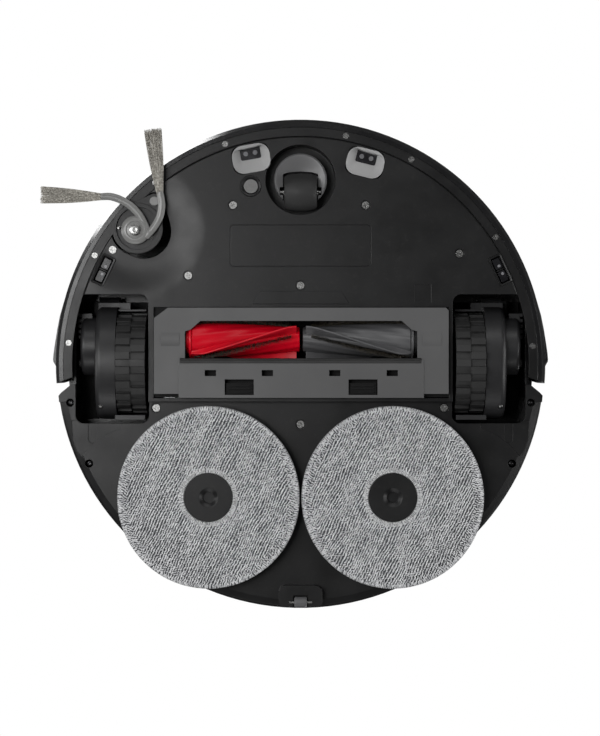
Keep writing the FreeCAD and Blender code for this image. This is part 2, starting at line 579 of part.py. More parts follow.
def side_brush_arm():
    """Swing arm: pivot, link plate, round pod and the motor above it."""
    plate = link(POD_X, POD_Y, POD_R - 0.2, SWING_X, SWING_Y, 5.4, 9.0, 12.0)
    collar = tube(POD_X, POD_Y, 7.8, 12.0, POD_R, POD_R - 3)
    floor = cyl(POD_X, POD_Y, 10.0, 12.3, POD_R - 1)
    motor = cyl(BRUSH_X, BRUSH_Y, 12.0, 38, 8.4)
    boss = cyl(SWING_X, SWING_Y, 12.0, 20, 3.9)
    arm = fuse(plate.cut(cyl(POD_X, POD_Y, 0, 10, POD_R - 3)), collar, floor, motor, boss)
    return arm.cut(group([cyl(BRUSH_X, BRUSH_Y, 0, 24, 2.0 + FIT), cyl(SWING_X, SWING_Y, 0, 60, 2.5)]))


def side_brush_pivot():
    """Shouldered pin that the swing arm turns on, held in a boss of the chassis."""
    pin = cyl(SWING_X, SWING_Y, 7.6, 26, 2.5 - FIT)
    head = cyl(SWING_X, SWING_Y, 7.4, 8.8, 3.2)
    y0, y1 = SWING_Y - 3, SWING_Y + 3
    block = fuse(cyl(SWING_X, SWING_Y, 20.4, 28, 5.5), box(SWING_X + 2, SWING_X + 19, y0, y1, 24, 28),
                 box(SWING_X + 16, SWING_X + 19, y0, y1, FLOOR_Z + SKIN + 2.1, 28))
    return fuse(pin, head, block)


def arc_arm(points, width, z0, z1):
    """Flat curved arm through three plan points."""
    circle = Part.Arc(*[V(x, y, z0) for x, y in points]).toShape().Curve
    centre, radius = circle.Center, circle.Radius

    def bend(offset):
        scale = (radius + offset) / radius
        return [centre + (V(x, y, z0) - centre) * scale for x, y in points]

    inside, outside = bend(-width / 2), bend(width / 2)
    edges = [Part.Arc(*inside).toShape(), Part.makeLine(inside[2], outside[2]),
             Part.Arc(*reversed(outside)).toShape(), Part.makeLine(outside[0], inside[0])]
    return Part.Face(Part.Wire(edges)).extrude(V(0, 0, z1 - z0))


BRUSH_ARMS = (((-109.5, -96.0), (-120.5, -112.3), (-140.9, -118.8)),
              ((-108.6, -91.5), (-99.2, -105.5), (-99.6, -121.2)))
BRUSH_TIPS = ((-184.4, -120.0), (-104.6, -167.0))


def side_brush_hub():
    hub = cyl(BRUSH_X, BRUSH_Y, 3.4, 7.4, 10.2)
    hub = hub.makeFillet(1.8, [e for e in hub.Edges if e.BoundBox.ZMax < 3.5])
    neck = cyl(BRUSH_X, BRUSH_Y, 7.4, 9.8, 6.0)
    shaft = cyl(BRUSH_X, BRUSH_Y, 9.8, 22, 2.0)
    arms = [arc_arm(points, 5.4, 3.4, 6.6) for points in BRUSH_ARMS]
    return fuse(hub, neck, shaft, *arms)


def side_brush_bristles():
    """Two fan-shaped bundles, as plain solids of the bundles' outer shape."""
    fans = []
    for points, (tx, ty) in zip(BRUSH_ARMS, BRUSH_TIPS):
        x, y = points[2]
        length = math.hypot(tx - x, ty - y)
        ux, uy = (tx - x) / length, (ty - y) / length
        root, tip, lift = 2.4, 6.2, 0.3
        x, y = x + ux * lift, y + uy * lift
        fans.append(prism([(x - uy * root, y + ux * root), (x + uy * root, y - ux * root),
                           (tx + uy * tip, ty - ux * tip), (tx - uy * tip, ty + ux * tip)], 1.8, 3.5))
    return group(fans)


def brush_housing():
    """Tunnel over the rolls, its flange, its bearings and the duct to the dust bin."""
    tunnel = box(-90, 90, ROLL_Y - 23.5, ROLL_Y + 23.5, FLOOR_Z + SKIN + 0.1, ROLL_Z + 23)
    flange = box(-107, 107.5, -43, 23.4, FLOOR_Z + SKIN + 0.1, FLOOR_Z + SKIN + 2.1)
    duct = box(-44, 44, -6, 5.8, 38, 45.8)
    hollow = fuse(cylx(-84, 84.5, ROLL_Y, ROLL_Z, CHAMBER_R), box(-84, 84.5, ROLL_Y - CHAMBER_R, ROLL_Y + CHAMBER_R,
                                                                   0, ROLL_Z))
    bearings = [cylx(x0, x1, ROLL_Y, ROLL_Z, 3 + FIT) for x0, x1 in ((-91, -83), (83, 91))]
    return fuse(tunnel, flange, duct).cut(group([hollow, box(-41, 41, -4, 4, 30, 47)] + bearings))


def brush_motor():
    """Motor behind the tunnel and the gear case at its left end."""
    y, z = 24.5, 34.0
    motor = cylx(-86, -20, y, z, 11.5)
    case = fuse(box(-98, -90.3, ROLL_Y - 12, 23.4, 16.5, 44.5), box(-98, -90.3, 20, 38, 22.5, 44.5))
    return fuse(motor, case, cylx(-92, -84, y, z, 6))


def roll_r(x, x_outer, x_inner):
    """Radius of a roll's tapered core."""
    return CORE_R[0] + (CORE_R[1] - CORE_R[0]) * (x - x_outer) / (x_inner - x_outer)


def blade_r(x, x_outer, x_inner):
    """Radius of a blade's tip: less at both ends, to pass the guard's corners and the gap between the rolls."""
    outer_gap, inner_gap = abs(x - x_outer), abs(x - x_inner)
    if outer_gap < BLADE_RISE:
        return BLADE_END_R + (ROLL_R - BLADE_END_R) * outer_gap / BLADE_RISE
    return ROLL_R - 1.5 if inner_gap < 3 else ROLL_R


def roll_core(x_outer, x_inner):
    """Tapered core with its bearing stub at the outer end only."""
    sign = 1 if x_inner > x_outer else -1
    stub = x_outer - sign * 7.0
    profile = [(stub, 0), (stub, 3.0), (x_outer - sign * 2, 3.0), (x_outer - sign * 2, 11), (x_outer, 11),
               (x_outer, roll_r(x_outer, x_outer, x_inner)), (x_inner, roll_r(x_inner, x_outer, x_inner)),
               (x_inner, 0)]
    return turned_x(profile, ROLL_Y, ROLL_Z)


def roll_blades(x_outer, x_inner):
    """Three twisted rubber blades on the tapered core, joined by a thin sleeve."""
    sign = 1 if x_inner > x_outer else -1
    xa, xb = x_outer + sign * 1.2, x_inner - sign * 2.6
    xs = [xa] + [x_outer + sign * BLADE_RISE * i for i in (0.5, 1)]
    xs += [xs[-1] + (xb - xs[-1]) * i / 6 for i in range(1, 7)]
    blades, wall = [], 1.2
    for k in range(3):
        wires = []
        for x in xs:
            r0, r1 = roll_r(x, x_outer, x_inner) + 0.4, blade_r(x, x_outer, x_inner)
            a = math.radians(BLADE_START + 120 * k + BLADE_TURN * (x - xa) / (xb - xa))
            ring = []
            for r, off in ((r0, -1.3), (r1, -0.7), (r1, 0.7), (r0, 1.3)):
                ring.append(V(x, ROLL_Y + r * math.cos(a) - off * math.sin(a),
                              ROLL_Z + r * math.sin(a) + off * math.cos(a)))
            wires.append(Part.makePolygon(ring + ring[:1]))
        blades.append(Part.makeLoft(wires, True, True))
    ra, rb = roll_r(xa, x_outer, x_inner) + 0.02, roll_r(xb, x_outer, x_inner) + 0.02
    sleeve = turned_x([(xa, ra), (xa, ra + wall), (xb, rb + wall), (xb, rb)], ROLL_Y, ROLL_Z)
    return sleeve.multiFuse(blades)


def brush_guard():
    """Removable frame around the mouth, with the rear flap."""
    z0, z1 = GUARD_Z
    x0, x1, y0, y1 = GUARD
    corner = (10.0, 7.4)
    outline = [(x0 + corner[0], y0), (x1 - 2, y0), (x1, y0 + 2), (x1, y1), (x0, y1), (x0, y0 + corner[1])]
    frame = prism(outline, z0, z1)
    front_top = [e for e in frame.Edges if e.BoundBox.YMax < y0 + 0.1 and e.BoundBox.ZMin > z1 - 0.1]
    frame = frame.makeFillet(z1 - GUARD_HINGE[1], front_top)
    flap = box(FLAP[0], FLAP[1], FLAP[2] + 0.6, FLAP[3], FLAP_Z, z1)
    bulges = [cylx(xa, xb, ROLL_Y, 23.2, 19.4).common(box(xa, xb, -40, 10, 0, z1 - 0.1))
              for xa, xb in ((x0 + 5, MOUTH[0] - 4), (MOUTH[1] + 4, x1 - 5))]
    body = fuse(frame, flap, *bulges)
    mx0, mx1, my0, my1 = MOUTH
    cut_x, cut_y = 11.0, 7.4
    mouth = prism([(mx0, my1), (mx0, my0 + cut_y), (mx0 + 4, my0 + cut_y - 1.2), (mx0 + cut_x, my0),
                   (mx1 - cut_x, my0), (mx1 - 4, my0 + cut_y - 1.2), (mx1, my0 + cut_y), (mx1, my1)], 0, 20)
    hollow = box(-84, 84.5, -34.2, -1.2, z0 + 1.0, 20)
    tray = box(x0 + 6, x1 - 6, 1.5, y1 - 2, z0 + 2.4, 20)
    cuts = [mouth, hollow, tray, box(-85.5, 85.5, -4.4, -0.8, 0, z0 + 0.9)]
    for x in (-63.9, -23.5, 24.3, 65.0):
        cuts.append(box(x - 4, x + 4, 4.1, 8.3, 0, 20))
    for x in LATCH_X:
        cuts.append(box(x - 10.3, x + 10.3, 10.7, 21.7, 0, 20))
    return max(body.cut(group(cuts)).Solids, key=lambda s: s.Volume)


def wiper_strip():
    """Rubber strip along the mouth's rear edge."""
    return prism_x([(-4.3, GUARD_Z[0] + 0.9), (-4.3, 3.4), (-3.4, 2.6), (-2.4, 3.4), (-0.9, 3.4),
                    (-0.9, GUARD_Z[0] + 0.9)], -85.4, 85.4)


def guard_latch(x):
    """Spring latch with three grip ribs; it slides towards the mouth."""
    plate = box(x - 9.6, x + 9.6, 13.2, 21.4, 6.4, 8.6)
    ribs = [box(x - 8, x + 8, 14.4 + 2.4 * i, 15.4 + 2.4 * i, 5.2, 6.6) for i in range(3)]
    return fuse(plate, *ribs)


def mop_gearbox():
    """Lifting carriage with the two gear cases and the motor that turns both pads."""
    cases = [cyl(side * MOP_X, MOP_Y, 23.0, 42.0, 23.0) for side in (1, -1)]
    beam = box(-50, 50, MOP_Y - 9, MOP_Y + 9, 23.0, 35.0)
    motor = cylx(-46, 40, MOP_Y - 20, 29.2, 6.0)
    mount = box(-46, -40, MOP_Y - 20, MOP_Y, 24, 35)
    body = fuse(*cases, beam, motor, mount)
    return body.cut(group([cyl(side * MOP_X, MOP_Y, 20, 34, 5 + FIT) for side in (1, -1)]))


def mop_plate(side):
    """Turntable with its drive shaft and the visible hub with a dimple."""
    hub = revolve([(4.15, 2.4), (6.8, 1.0), (HUB_R, 1.0), (HUB_R, PAD_THICK + 0.1), (60, PAD_THICK + 0.1),
                   (60, PAD_THICK + 2.4), (14, PAD_THICK + 3.2), (13, 21.5), (5, 21.5), (5, 33), (0, 33), (0, 5.0),
                   (4.15, 5.0)], side * MOP_X, MOP_Y)
    return hub


def mop_pad(side):
    edge = 1.5
    return revolve([(HUB_R + 0.1, 0), (PAD_R - edge, 0), (PAD_R, edge), (PAD_R, PAD_THICK - 1), (PAD_R - 1, PAD_THICK),
                    (HUB_R + 0.1, PAD_THICK)], side * MOP_X, MOP_Y)


def battery():
    """Pack of eight cells in two rows."""
    case = rbox(-50, 50, -104, -62, 15.2, 55, 3)
    return case.cut(box(-30, 30, -105, -103, 30, 40))


def main_board():
    board = rbox(-70, 70, -122, -66, 59, 60.6, 3)
    chips = [box(x, x + w, y, y + d, 60.6, 62.8) for x, y, w, d in ((-40, -110, 22, 22), (4, -104, 16, 16),
                                                                     (34, -112, 12, 20), (-60, -84, 24, 10))]
    sockets = [box(x, x + 14, -74, -68, 60.6, 66) for x in (-30, -8, 14, 36)]
    return fuse(board, *chips, *sockets)


def dust_bin():
    """Removable bin under the lid, with its inlet over the duct and an opening for the filter."""
    outer = rbox(-78, 78, -56, 38, 46.2, 75.0, 6)
    inner = rbox(-76, 76, -54, 36, 48.2, 73.0, 4)
    inlet = box(-40, 40, -4, 4, 40, 50)
    outlet = box(-30, 30, 34, 40, 51, 71)
    return outer.cut(inner).cut(inlet).cut(outlet)


def dust_filter():
    """Pleated filter cassette in the bin's rear wall."""
    frame = box(-29.9, 29.9, 33.0, 38.0, 51.1, 70.9)
    pleats = [box(x - 0.8, x + 0.8, 31, 36.5, 53, 69) for x in range(-26, 27, 4)]
    return frame.cut(group(pleats))


def fan_housing():
    """Scroll case of the suction fan and its inlet duct from the filter."""
    scroll = cyl(0, TURRET_Y, 46.0, 62.0, 32)
    duct = box(-30, 30, 38.3, TURRET_Y - 10, 50.0, 61.9)
    hollow = fuse(cyl(0, TURRET_Y, 48.0, 60.0, 29.5), box(-28, 28, 38, TURRET_Y, 52.0, 60.0))
    outlet = box(20, 50, TURRET_Y + 8, TURRET_Y + 22, 49, 59)
    return fuse(scroll, duct).cut(hollow).cut(outlet)


def fan_impeller():
    hub = cyl(0, TURRET_Y, 48.4, 59.0, 8)
    plate = cyl(0, TURRET_Y, 48.4, 49.8, 26)
    blades = [spun(box(6, 26, TURRET_Y - 0.7, TURRET_Y + 0.7, 49.5, 58.0), 0, TURRET_Y, 40 * i) for i in range(9)]
    return fuse(hub, plate, *blades)


def water_tank():
    """Clean-water tank in the back of the body."""
    outer = cyl(0, 0, 26, 70.5, 168).common(box(-105, 105, 128, 175, 0, 99))
    inner = cyl(0, 0, 28, 68.5, 166).common(box(-103, 103, 130, 175, 0, 99))
    return outer.cut(inner)


def lidar_motor():
    return fuse(cyl(0, TURRET_Y, 63.0, 70.0, 31), cyl(0, TURRET_Y, 70, 74.0, 12), cyl(20, TURRET_Y + 8, 70, 74, 7))


def lidar_head():
    """Spinning range finder with two lens barrels."""
    drum = cyl(0, TURRET_Y, 75.0, 91.0, 31)
    eyes = [cyl(0, 0, 0, 6, 4.2), cyl(0, 0, 0, 6, 4.2)]
    for eye, x in zip(eyes, (-11, 11)):
        eye.rotate(V(0, 0, 0), V(1, 0, 0), 90)
        eye.translate(V(x, TURRET_Y - 26, 86.0))
    return drum.cut(group(eyes))


def turret_cap():
    """Cap on four legs. It gives way a little when the turret is pressed from above."""
    cap = cyl(0, TURRET_Y, 93.2, TURRET_TOP, TURRET_R)
    cap = cap.makeFillet(2.0, [e for e in cap.Edges if e.BoundBox.ZMin > TURRET_TOP - 0.1])
    ring = tube(0, TURRET_Y, 73.0, 76.0, 40.5, 36)
    legs = [spun(box(-4, 4, TURRET_Y - 40.8, TURRET_Y - 37, 73.5, 94), 0, TURRET_Y, a) for a in (50, 130, 230, 310)]
    return fuse(cap, ring, *legs)


save("base_pan", base_pan())
save("side_shell", side_shell())
save("charging_contacts", charging_contacts())
save("top_cover", top_cover())
save("top_lid", top_lid())
for name, spec in zip(("power_button", "home_button"), BUTTONS):
    save(name, button(*spec))
save("bumper_shell", bumper_shell())
save("bumper_ring", bumper_ring())
save("bumper_screws", bumper_screws())
save("bumper_window", bumper_window())
save("chassis_screws", chassis_screws())
save("caster_socket", caster_socket())
save("caster_fork", caster_fork())
save("caster_axle", caster_axle())
save("caster_wheel", caster_wheel())
save("rear_roller", rear_roller())
save("rear_roller_axle", rear_roller_axle())
save("carpet_sensor", carpet_sensor())
for name, shape in zip(("floor_sensor_holders", "cliff_sensor_windows"), floor_sensors()):
    save(name, shape)
for label, side in (("right", 1), ("left", -1)):
    save("wheel_bracket_" + label, wheel_bracket(side))
    save("wheel_arm_" + label, wheel_arm(side))
    save("wheel_spring_" + label, wheel_spring(side))
    save("wheel_hub_" + label, wheel_hub(side))
    save("tyre_" + label, tyre(side))
    save("mop_plate_" + label, mop_plate(side))
    save("mop_pad_" + label, mop_pad(side))
save("side_brush_arm", side_brush_arm())
save("side_brush_pivot", side_brush_pivot())
save("side_brush_hub", side_brush_hub())
save("side_brush_bristles", side_brush_bristles())
save("brush_housing", brush_housing())
save("brush_motor", brush_motor())
save("roll_core_left", roll_core(*ROLL_LEFT_X))
save("roll_blades_left", roll_blades(*ROLL_LEFT_X))
save("roll_core_right", roll_core(ROLL_RIGHT_X[1], ROLL_RIGHT_X[0]))
save("roll_blades_right", roll_blades(ROLL_RIGHT_X[1], ROLL_RIGHT_X[0]))
save("brush_guard", brush_guard())
save("wiper_strip", wiper_strip())
for label, x in zip(("left", "right"), LATCH_X):
    save("guard_latch_" + label, guard_latch(x))
save("mop_gearbox", mop_gearbox())
save("battery", battery())
save("main_board", main_board())
save("dust_bin", dust_bin())
save("dust_filter", dust_filter())
save("fan_housing", fan_housing())
save("fan_impeller", fan_impeller())
save("water_tank", water_tank())
save("lidar_motor", lidar_motor())
save("lidar_head", lidar_head())
save("turret_cap", turret_cap())
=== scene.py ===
"""Looks of a robot vacuum with two mop pads, seen from straight below with its front at the top."""
import bmesh
import bpy
import json
import math
import random
from mathutils import Matrix, Vector, noise

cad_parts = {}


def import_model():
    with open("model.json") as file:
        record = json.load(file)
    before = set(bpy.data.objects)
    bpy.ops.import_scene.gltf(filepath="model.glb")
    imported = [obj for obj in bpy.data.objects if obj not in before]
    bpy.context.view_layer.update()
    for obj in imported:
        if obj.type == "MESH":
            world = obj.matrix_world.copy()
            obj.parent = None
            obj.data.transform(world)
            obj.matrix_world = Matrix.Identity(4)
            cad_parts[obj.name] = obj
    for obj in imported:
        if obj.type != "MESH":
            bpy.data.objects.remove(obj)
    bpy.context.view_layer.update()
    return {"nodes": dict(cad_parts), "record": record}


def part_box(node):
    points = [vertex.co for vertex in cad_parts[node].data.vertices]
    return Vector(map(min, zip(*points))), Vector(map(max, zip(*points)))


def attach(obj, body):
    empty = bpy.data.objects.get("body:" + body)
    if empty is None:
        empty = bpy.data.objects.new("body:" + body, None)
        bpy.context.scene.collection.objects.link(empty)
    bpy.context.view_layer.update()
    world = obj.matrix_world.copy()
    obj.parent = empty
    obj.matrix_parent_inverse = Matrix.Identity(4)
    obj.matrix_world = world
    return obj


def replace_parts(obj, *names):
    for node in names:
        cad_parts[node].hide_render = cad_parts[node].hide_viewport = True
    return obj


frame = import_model()
MM = 0.001

SIDES = (("left", -1), ("right", 1))


def in_mm(*pairs):
    """Pairs given in millimetres as metres."""
    return [(a * MM, b * MM) for a, b in pairs]


def turn(angle):
    return Vector((math.cos(angle), math.sin(angle), 0))


def left_of(ahead):
    return Vector((-ahead.y, ahead.x, 0))


def around(count):
    """Angles of a full turn in equal steps."""
    return [2 * math.pi * k / count for k in range(count)]


# ---------------------------------------------------------------- materials

class Shader:
    """A material's node tree with short calls for the nodes used here."""

    def __init__(self, name):
        self.material = bpy.data.materials.new(name)
        self.material.use_nodes = True
        self.tree = self.material.node_tree
        self.bsdf = self.tree.nodes["Principled BSDF"]
        self.place = self.node("ShaderNodeTexCoord").outputs["Object"]

    def node(self, kind, **values):
        made = self.tree.nodes.new(kind)
        for key, value in values.items():
            setattr(made, key, value)
        return made

    def join(self, out, into):
        self.tree.links.new(out, into)

    def texture(self, kind, scale, stretch=(1, 1, 1)):
        mapping = self.node("ShaderNodeMapping")
        mapping.inputs["Scale"].default_value = stretch
        self.join(self.place, mapping.inputs["Vector"])
        made = self.node(kind)
        made.inputs["Scale"].default_value = scale
        self.join(mapping.outputs["Vector"], made.inputs["Vector"])
        return made

    def noise(self, scale, detail=2.0, rough=0.5, stretch=(1, 1, 1)):
        made = self.texture("ShaderNodeTexNoise", scale, stretch)
        made.inputs["Detail"].default_value = detail
        made.inputs["Roughness"].default_value = rough
        return made.outputs["Fac"]

    def cells(self, scale):
        return self.texture("ShaderNodeTexVoronoi", scale).outputs["Color"]

    def ramp(self, value, low, high, at=(0.3, 0.7)):
        made = self.node("ShaderNodeValToRGB")
        for element, position, colour in zip(made.color_ramp.elements, at, (low, high)):
            element.position = position
            element.color = (*colour, 1)
        self.join(value, made.inputs["Fac"])
        return made.outputs["Color"]

    def span(self, value, low, high, at=(0.3, 0.7)):
        made = self.node("ShaderNodeMapRange")
        for key, number in zip(("From Min", "From Max", "To Min", "To Max"), (*at, low, high)):
            made.inputs[key].default_value = number
        self.join(value, made.inputs["Value"])
        return made.outputs["Result"]

    def mix(self, factor, a, b):
        made = self.node("ShaderNodeMix", data_type="RGBA")
        for value, socket in ((factor, made.inputs[0]), (a, made.inputs[6]), (b, made.inputs[7])):
            if isinstance(value, bpy.types.NodeSocket):
                self.join(value, socket)
            elif isinstance(value, float):
                socket.default_value = value
            else:
                socket.default_value = (*value, 1)
        return made.outputs[2]

    def soft_edges(self, radius):
        """Normal rounded over sharp edges, and how far a point is into such an edge."""
        rounded = self.node("ShaderNodeBevel")
        rounded.samples = 4
        rounded.inputs["Radius"].default_value = radius
        flat = self.node("ShaderNodeNewGeometry")
        dot = self.node("ShaderNodeVectorMath", operation="DOT_PRODUCT")
        self.join(rounded.outputs["Normal"], dot.inputs[0])
        self.join(flat.outputs["Normal"], dot.inputs[1])
        return rounded.outputs["Normal"], self.span(dot.outputs["Value"], 1.0, 0.0, at=(0.72, 0.98))

    def bump(self, height, distance, normal=None):
        made = self.node("ShaderNodeBump")
        made.inputs["Distance"].default_value = distance
        made.inputs["Strength"].default_value = 1.0
        self.join(height, made.inputs["Height"])
        if normal is not None:
            self.join(normal, made.inputs["Normal"])
        return made.outputs["Normal"]

    def set(self, **values):
        for key, value in values.items():
            socket = self.bsdf.inputs[key.replace("_", " ")]
            if isinstance(value, bpy.types.NodeSocket):
                self.join(value, socket)
            elif isinstance(value, tuple):
                socket.default_value = (*value, 1)
            else:
                socket.default_value = value
        return self.material


DUST = (0.25, 0.24, 0.23)


def shade(colour, factor):
    return tuple(c * factor for c in colour)


def plastic(name, colour, rough=0.42, grain=0.000014, edge_scuff_and_highlight=1.35, specular=0.5):
    """Moulded plastic: spark-eroded grain, slow tone changes, edges painted lighter as rubbed wear and partly
    as a painted edge highlight, and faint dust.
    """
    s = Shader(name)
    normal, edge_wear_and_highlight = s.soft_edges(0.00045)
    tone = s.ramp(s.noise(14, 3), shade(colour, 0.88), shade(colour, 1.14))
    dust = s.span(s.noise(260, 4, 0.7), 0.0, 0.03, at=(0.55, 0.8))
    tone = s.mix(dust, tone, DUST)
    # painted edge highlight mixed with rubbed wear: sharp edges lighter by a factor
    base = s.mix(edge_wear_and_highlight, tone, shade(colour, edge_scuff_and_highlight))
    roughness = s.span(s.noise(45, 3), rough - 0.05, rough + 0.06)
    bumpy = s.bump(s.noise(2600, 2, 0.6), grain, normal)
    return s.set(Base_Color=base, Roughness=roughness, Normal=bumpy, Specular_IOR_Level=specular)


def rubber(name, colour, rough=0.6):
    """Moulded rubber: matt, slightly dusty, fine flow marks."""
    s = Shader(name)
    normal, edge_wear_and_highlight = s.soft_edges(0.0005)
    tone = s.ramp(s.noise(60, 4), shade(colour, 0.8), shade(colour, 1.25))
    # painted edge highlight mixed with rubbed wear: sharp edges 1.7 times lighter
    base = s.mix(edge_wear_and_highlight, tone, shade(colour, 1.7))
    roughness = s.span(s.noise(120, 3), rough - 0.08, rough + 0.1)
    bumpy = s.bump(s.noise(1500, 3, 0.6), 0.00006, normal)
    return s.set(Base_Color=base, Roughness=roughness, Normal=bumpy)


def metal(name, colour, rough=0.28, brush=(1, 1, 1)):
    """Plated or brushed metal with fine scratches."""
    s = Shader(name)
    normal, edge_wear_and_highlight = s.soft_edges(0.0002)
    streaks = s.noise(700, 3, 0.6, brush)
    # painted edge highlight mixed with wear: sharp edges a little lighter
    base = s.mix(edge_wear_and_highlight, s.ramp(streaks, shade(colour, 0.82), shade(colour, 1.1)), shade(colour, 1.15))
    roughness = s.span(streaks, rough - 0.08, rough + 0.1)
    return s.set(Base_Color=base, Roughness=roughness, Normal=s.bump(streaks, 0.000003, normal), Metallic=1.0)


def window_plastic(name, colour):
    """Glossy dark infrared window with faint smears."""
    s = Shader(name)
    normal, edge_wear_and_highlight = s.soft_edges(0.0004)
    smear = s.noise(90, 4, 0.6)
    # painted edge highlight mixed with wear: sharp edges three times lighter
    base = s.mix(edge_wear_and_highlight, s.ramp(smear, shade(colour, 0.8), shade(colour, 1.3)), shade(colour, 3.0))
    return s.set(Base_Color=base, Roughness=s.span(smear, 0.2, 0.34), Normal=s.bump(smear, 0.00001, normal),
                 Specular_IOR_Level=0.4)


def microfibre(name, light, dark):
    """Looped yarn: fine strands across each loop, tone from loop to loop, felt-like sheen."""
    s = Shader(name)
    strand = s.noise(5200, 3, 0.7, (1, 1, 0.4))
    patch = s.noise(38, 3)
    tone = s.ramp(s.cells(620), dark, light, at=(0.12, 0.62))
    tone = s.mix(s.span(strand, 0.0, 0.35), tone, shade(dark, 0.75))
    tone = s.mix(s.span(patch, 0.0, 0.16), tone, shade(dark, 0.9))
    return s.set(Base_Color=tone, Roughness=0.92, Normal=s.bump(strand, 0.0002), Sheen_Weight=0.35,
                 Sheen_Roughness=0.6, Specular_IOR_Level=0.15)


def bristle_nylon(name, root, tip):
    """Fine nylon strands whose tone changes from strand to strand."""
    s = Shader(name)
    tone = s.ramp(s.noise(900, 2, 0.6, (1, 1, 0.15)), root, tip, at=(0.35, 0.65))
    return s.set(Base_Color=tone, Roughness=s.span(s.noise(300), 0.35, 0.55),
                 Normal=s.bump(s.noise(2500), 0.00004), Specular_IOR_Level=0.5)


def paper(name, colour):
    """Pleated filter paper with fibres."""
    s = Shader(name)
    fibre = s.noise(800, 4, 0.7)
    return s.set(Base_Color=s.ramp(fibre, shade(colour, 0.85), shade(colour, 1.05)), Roughness=0.9,
                 Normal=s.bump(fibre, 0.0001))


BLACK = (0.0070, 0.0070, 0.0073)
DECK = (0.0078, 0.0078, 0.0084)
GREY = (0.078, 0.078, 0.079)
ARM = (0.019, 0.019, 0.020)
RED = (0.60, 0.0018, 0.014)
STEEL = (0.27, 0.27, 0.265)

MATERIALS = {
    "black_plastic": plastic("black_plastic", BLACK, rough=0.34, edge_scuff_and_highlight=2.2, specular=0.34),
    "guard_grey": plastic("guard_grey", GREY, rough=0.46, edge_scuff_and_highlight=1.25),
    "arm_grey": plastic("arm_grey", ARM, rough=0.38, edge_scuff_and_highlight=1.8, specular=0.4),
    "red_plastic": plastic("red_plastic", RED, rough=0.3, edge_scuff_and_highlight=1.15, specular=0.22),
    "red_rubber": rubber("red_rubber", RED, rough=0.42),
    "grey_plastic": plastic("grey_plastic", (0.075, 0.075, 0.078), rough=0.36, edge_scuff_and_highlight=1.6),
    "grey_rubber": rubber("grey_rubber", (0.085, 0.085, 0.088), rough=0.45),
    "dark_rubber": rubber("dark_rubber", (0.016, 0.016, 0.016)),
    "tyre_rubber": rubber("tyre_rubber", (0.017, 0.017, 0.017), rough=0.55),
    "steel": metal("steel", STEEL),
    "sensor_window": window_plastic("sensor_window", (0.008, 0.008, 0.010)),
    "sensor_grey": plastic("sensor_grey", (0.17, 0.17, 0.172), rough=0.35),
    "deck_black": plastic("deck_black", DECK, rough=0.22, grain=0.000012, edge_scuff_and_highlight=1.8, specular=0.42),
    "microfibre": microfibre("microfibre", (0.90, 0.905, 0.915), (0.44, 0.445, 0.465)),
    # painted shade: a much darker copy of the yarn for the backing seen between the loops, so the gaps read
    # as shadow
    "microfibre_gap_shade": microfibre("microfibre_gap_shade", (0.16, 0.165, 0.175), (0.05, 0.052, 0.058)),
    "microfibre_edge": microfibre("microfibre_edge", (0.80, 0.805, 0.81), (0.46, 0.465, 0.475)),
    "caster_plastic": plastic("caster_plastic", (0.11, 0.11, 0.112), rough=0.36, edge_scuff_and_highlight=1.3),
    # painted shade: a half-bright, duller copy of the black plastic for parts deep in recesses
    "recess_shade_black": plastic("recess_shade_black", shade(BLACK, 0.5), rough=0.55, edge_scuff_and_highlight=1.4, specular=0.2),
    "disc_metal": metal("disc_metal", (0.15, 0.15, 0.148), rough=0.4),
    "eye_and_glint_glass": window_plastic("eye_and_glint_glass", (0.20, 0.20, 0.21)),
    "dark_metal": metal("dark_metal", (0.05, 0.05, 0.052)),
    "silver_paint": plastic("silver_paint", (0.42, 0.42, 0.42), rough=0.34, edge_scuff_and_highlight=1.2),
    "bristle": bristle_nylon("bristle", (0.20, 0.185, 0.16), (0.52, 0.50, 0.45)),
    "dark_bristle": bristle_nylon("dark_bristle", (0.012, 0.010, 0.008), (0.10, 0.085, 0.06)),
    "brush_grey": plastic("brush_grey", (0.20, 0.20, 0.195), rough=0.25, edge_scuff_and_highlight=1.5),
    "circuit_board": plastic("circuit_board", (0.02, 0.10, 0.04), rough=0.35),
    "battery_cells": plastic("battery_cells", (0.03, 0.06, 0.16), rough=0.3),
    "clear_smoke": plastic("clear_smoke", (0.06, 0.06, 0.065), rough=0.2),
    "filter_paper": paper("filter_paper", (0.72, 0.70, 0.66)),
    "motor_metal": metal("motor_metal", (0.45, 0.45, 0.46), brush=(0.05, 1, 1)),
}

# CAD nodes whose look is finer than their slot in the record; the brush housing, wheel brackets and guard
# latches sit in recesses and get a darker copy of the black plastic as painted shade
LOOKS = {"carpet_sensor": "disc_metal", "side_brush_pivot": "disc_metal", "brush_housing": "recess_shade_black",
         "wheel_bracket_left": "recess_shade_black", "wheel_bracket_right": "recess_shade_black",
         "guard_latch_left": "recess_shade_black", "guard_latch_right": "recess_shade_black"}
for part in frame["record"]["subparts"]:
    for slot in frame["nodes"][part["node"]].material_slots:
        slot.material = MATERIALS[LOOKS.get(part["node"], part["material_slot"])]


# ---------------------------------------------------------------- mesh helpers

UNBROKEN = 3.1                      # sharp angle that leaves a whole strand smooth


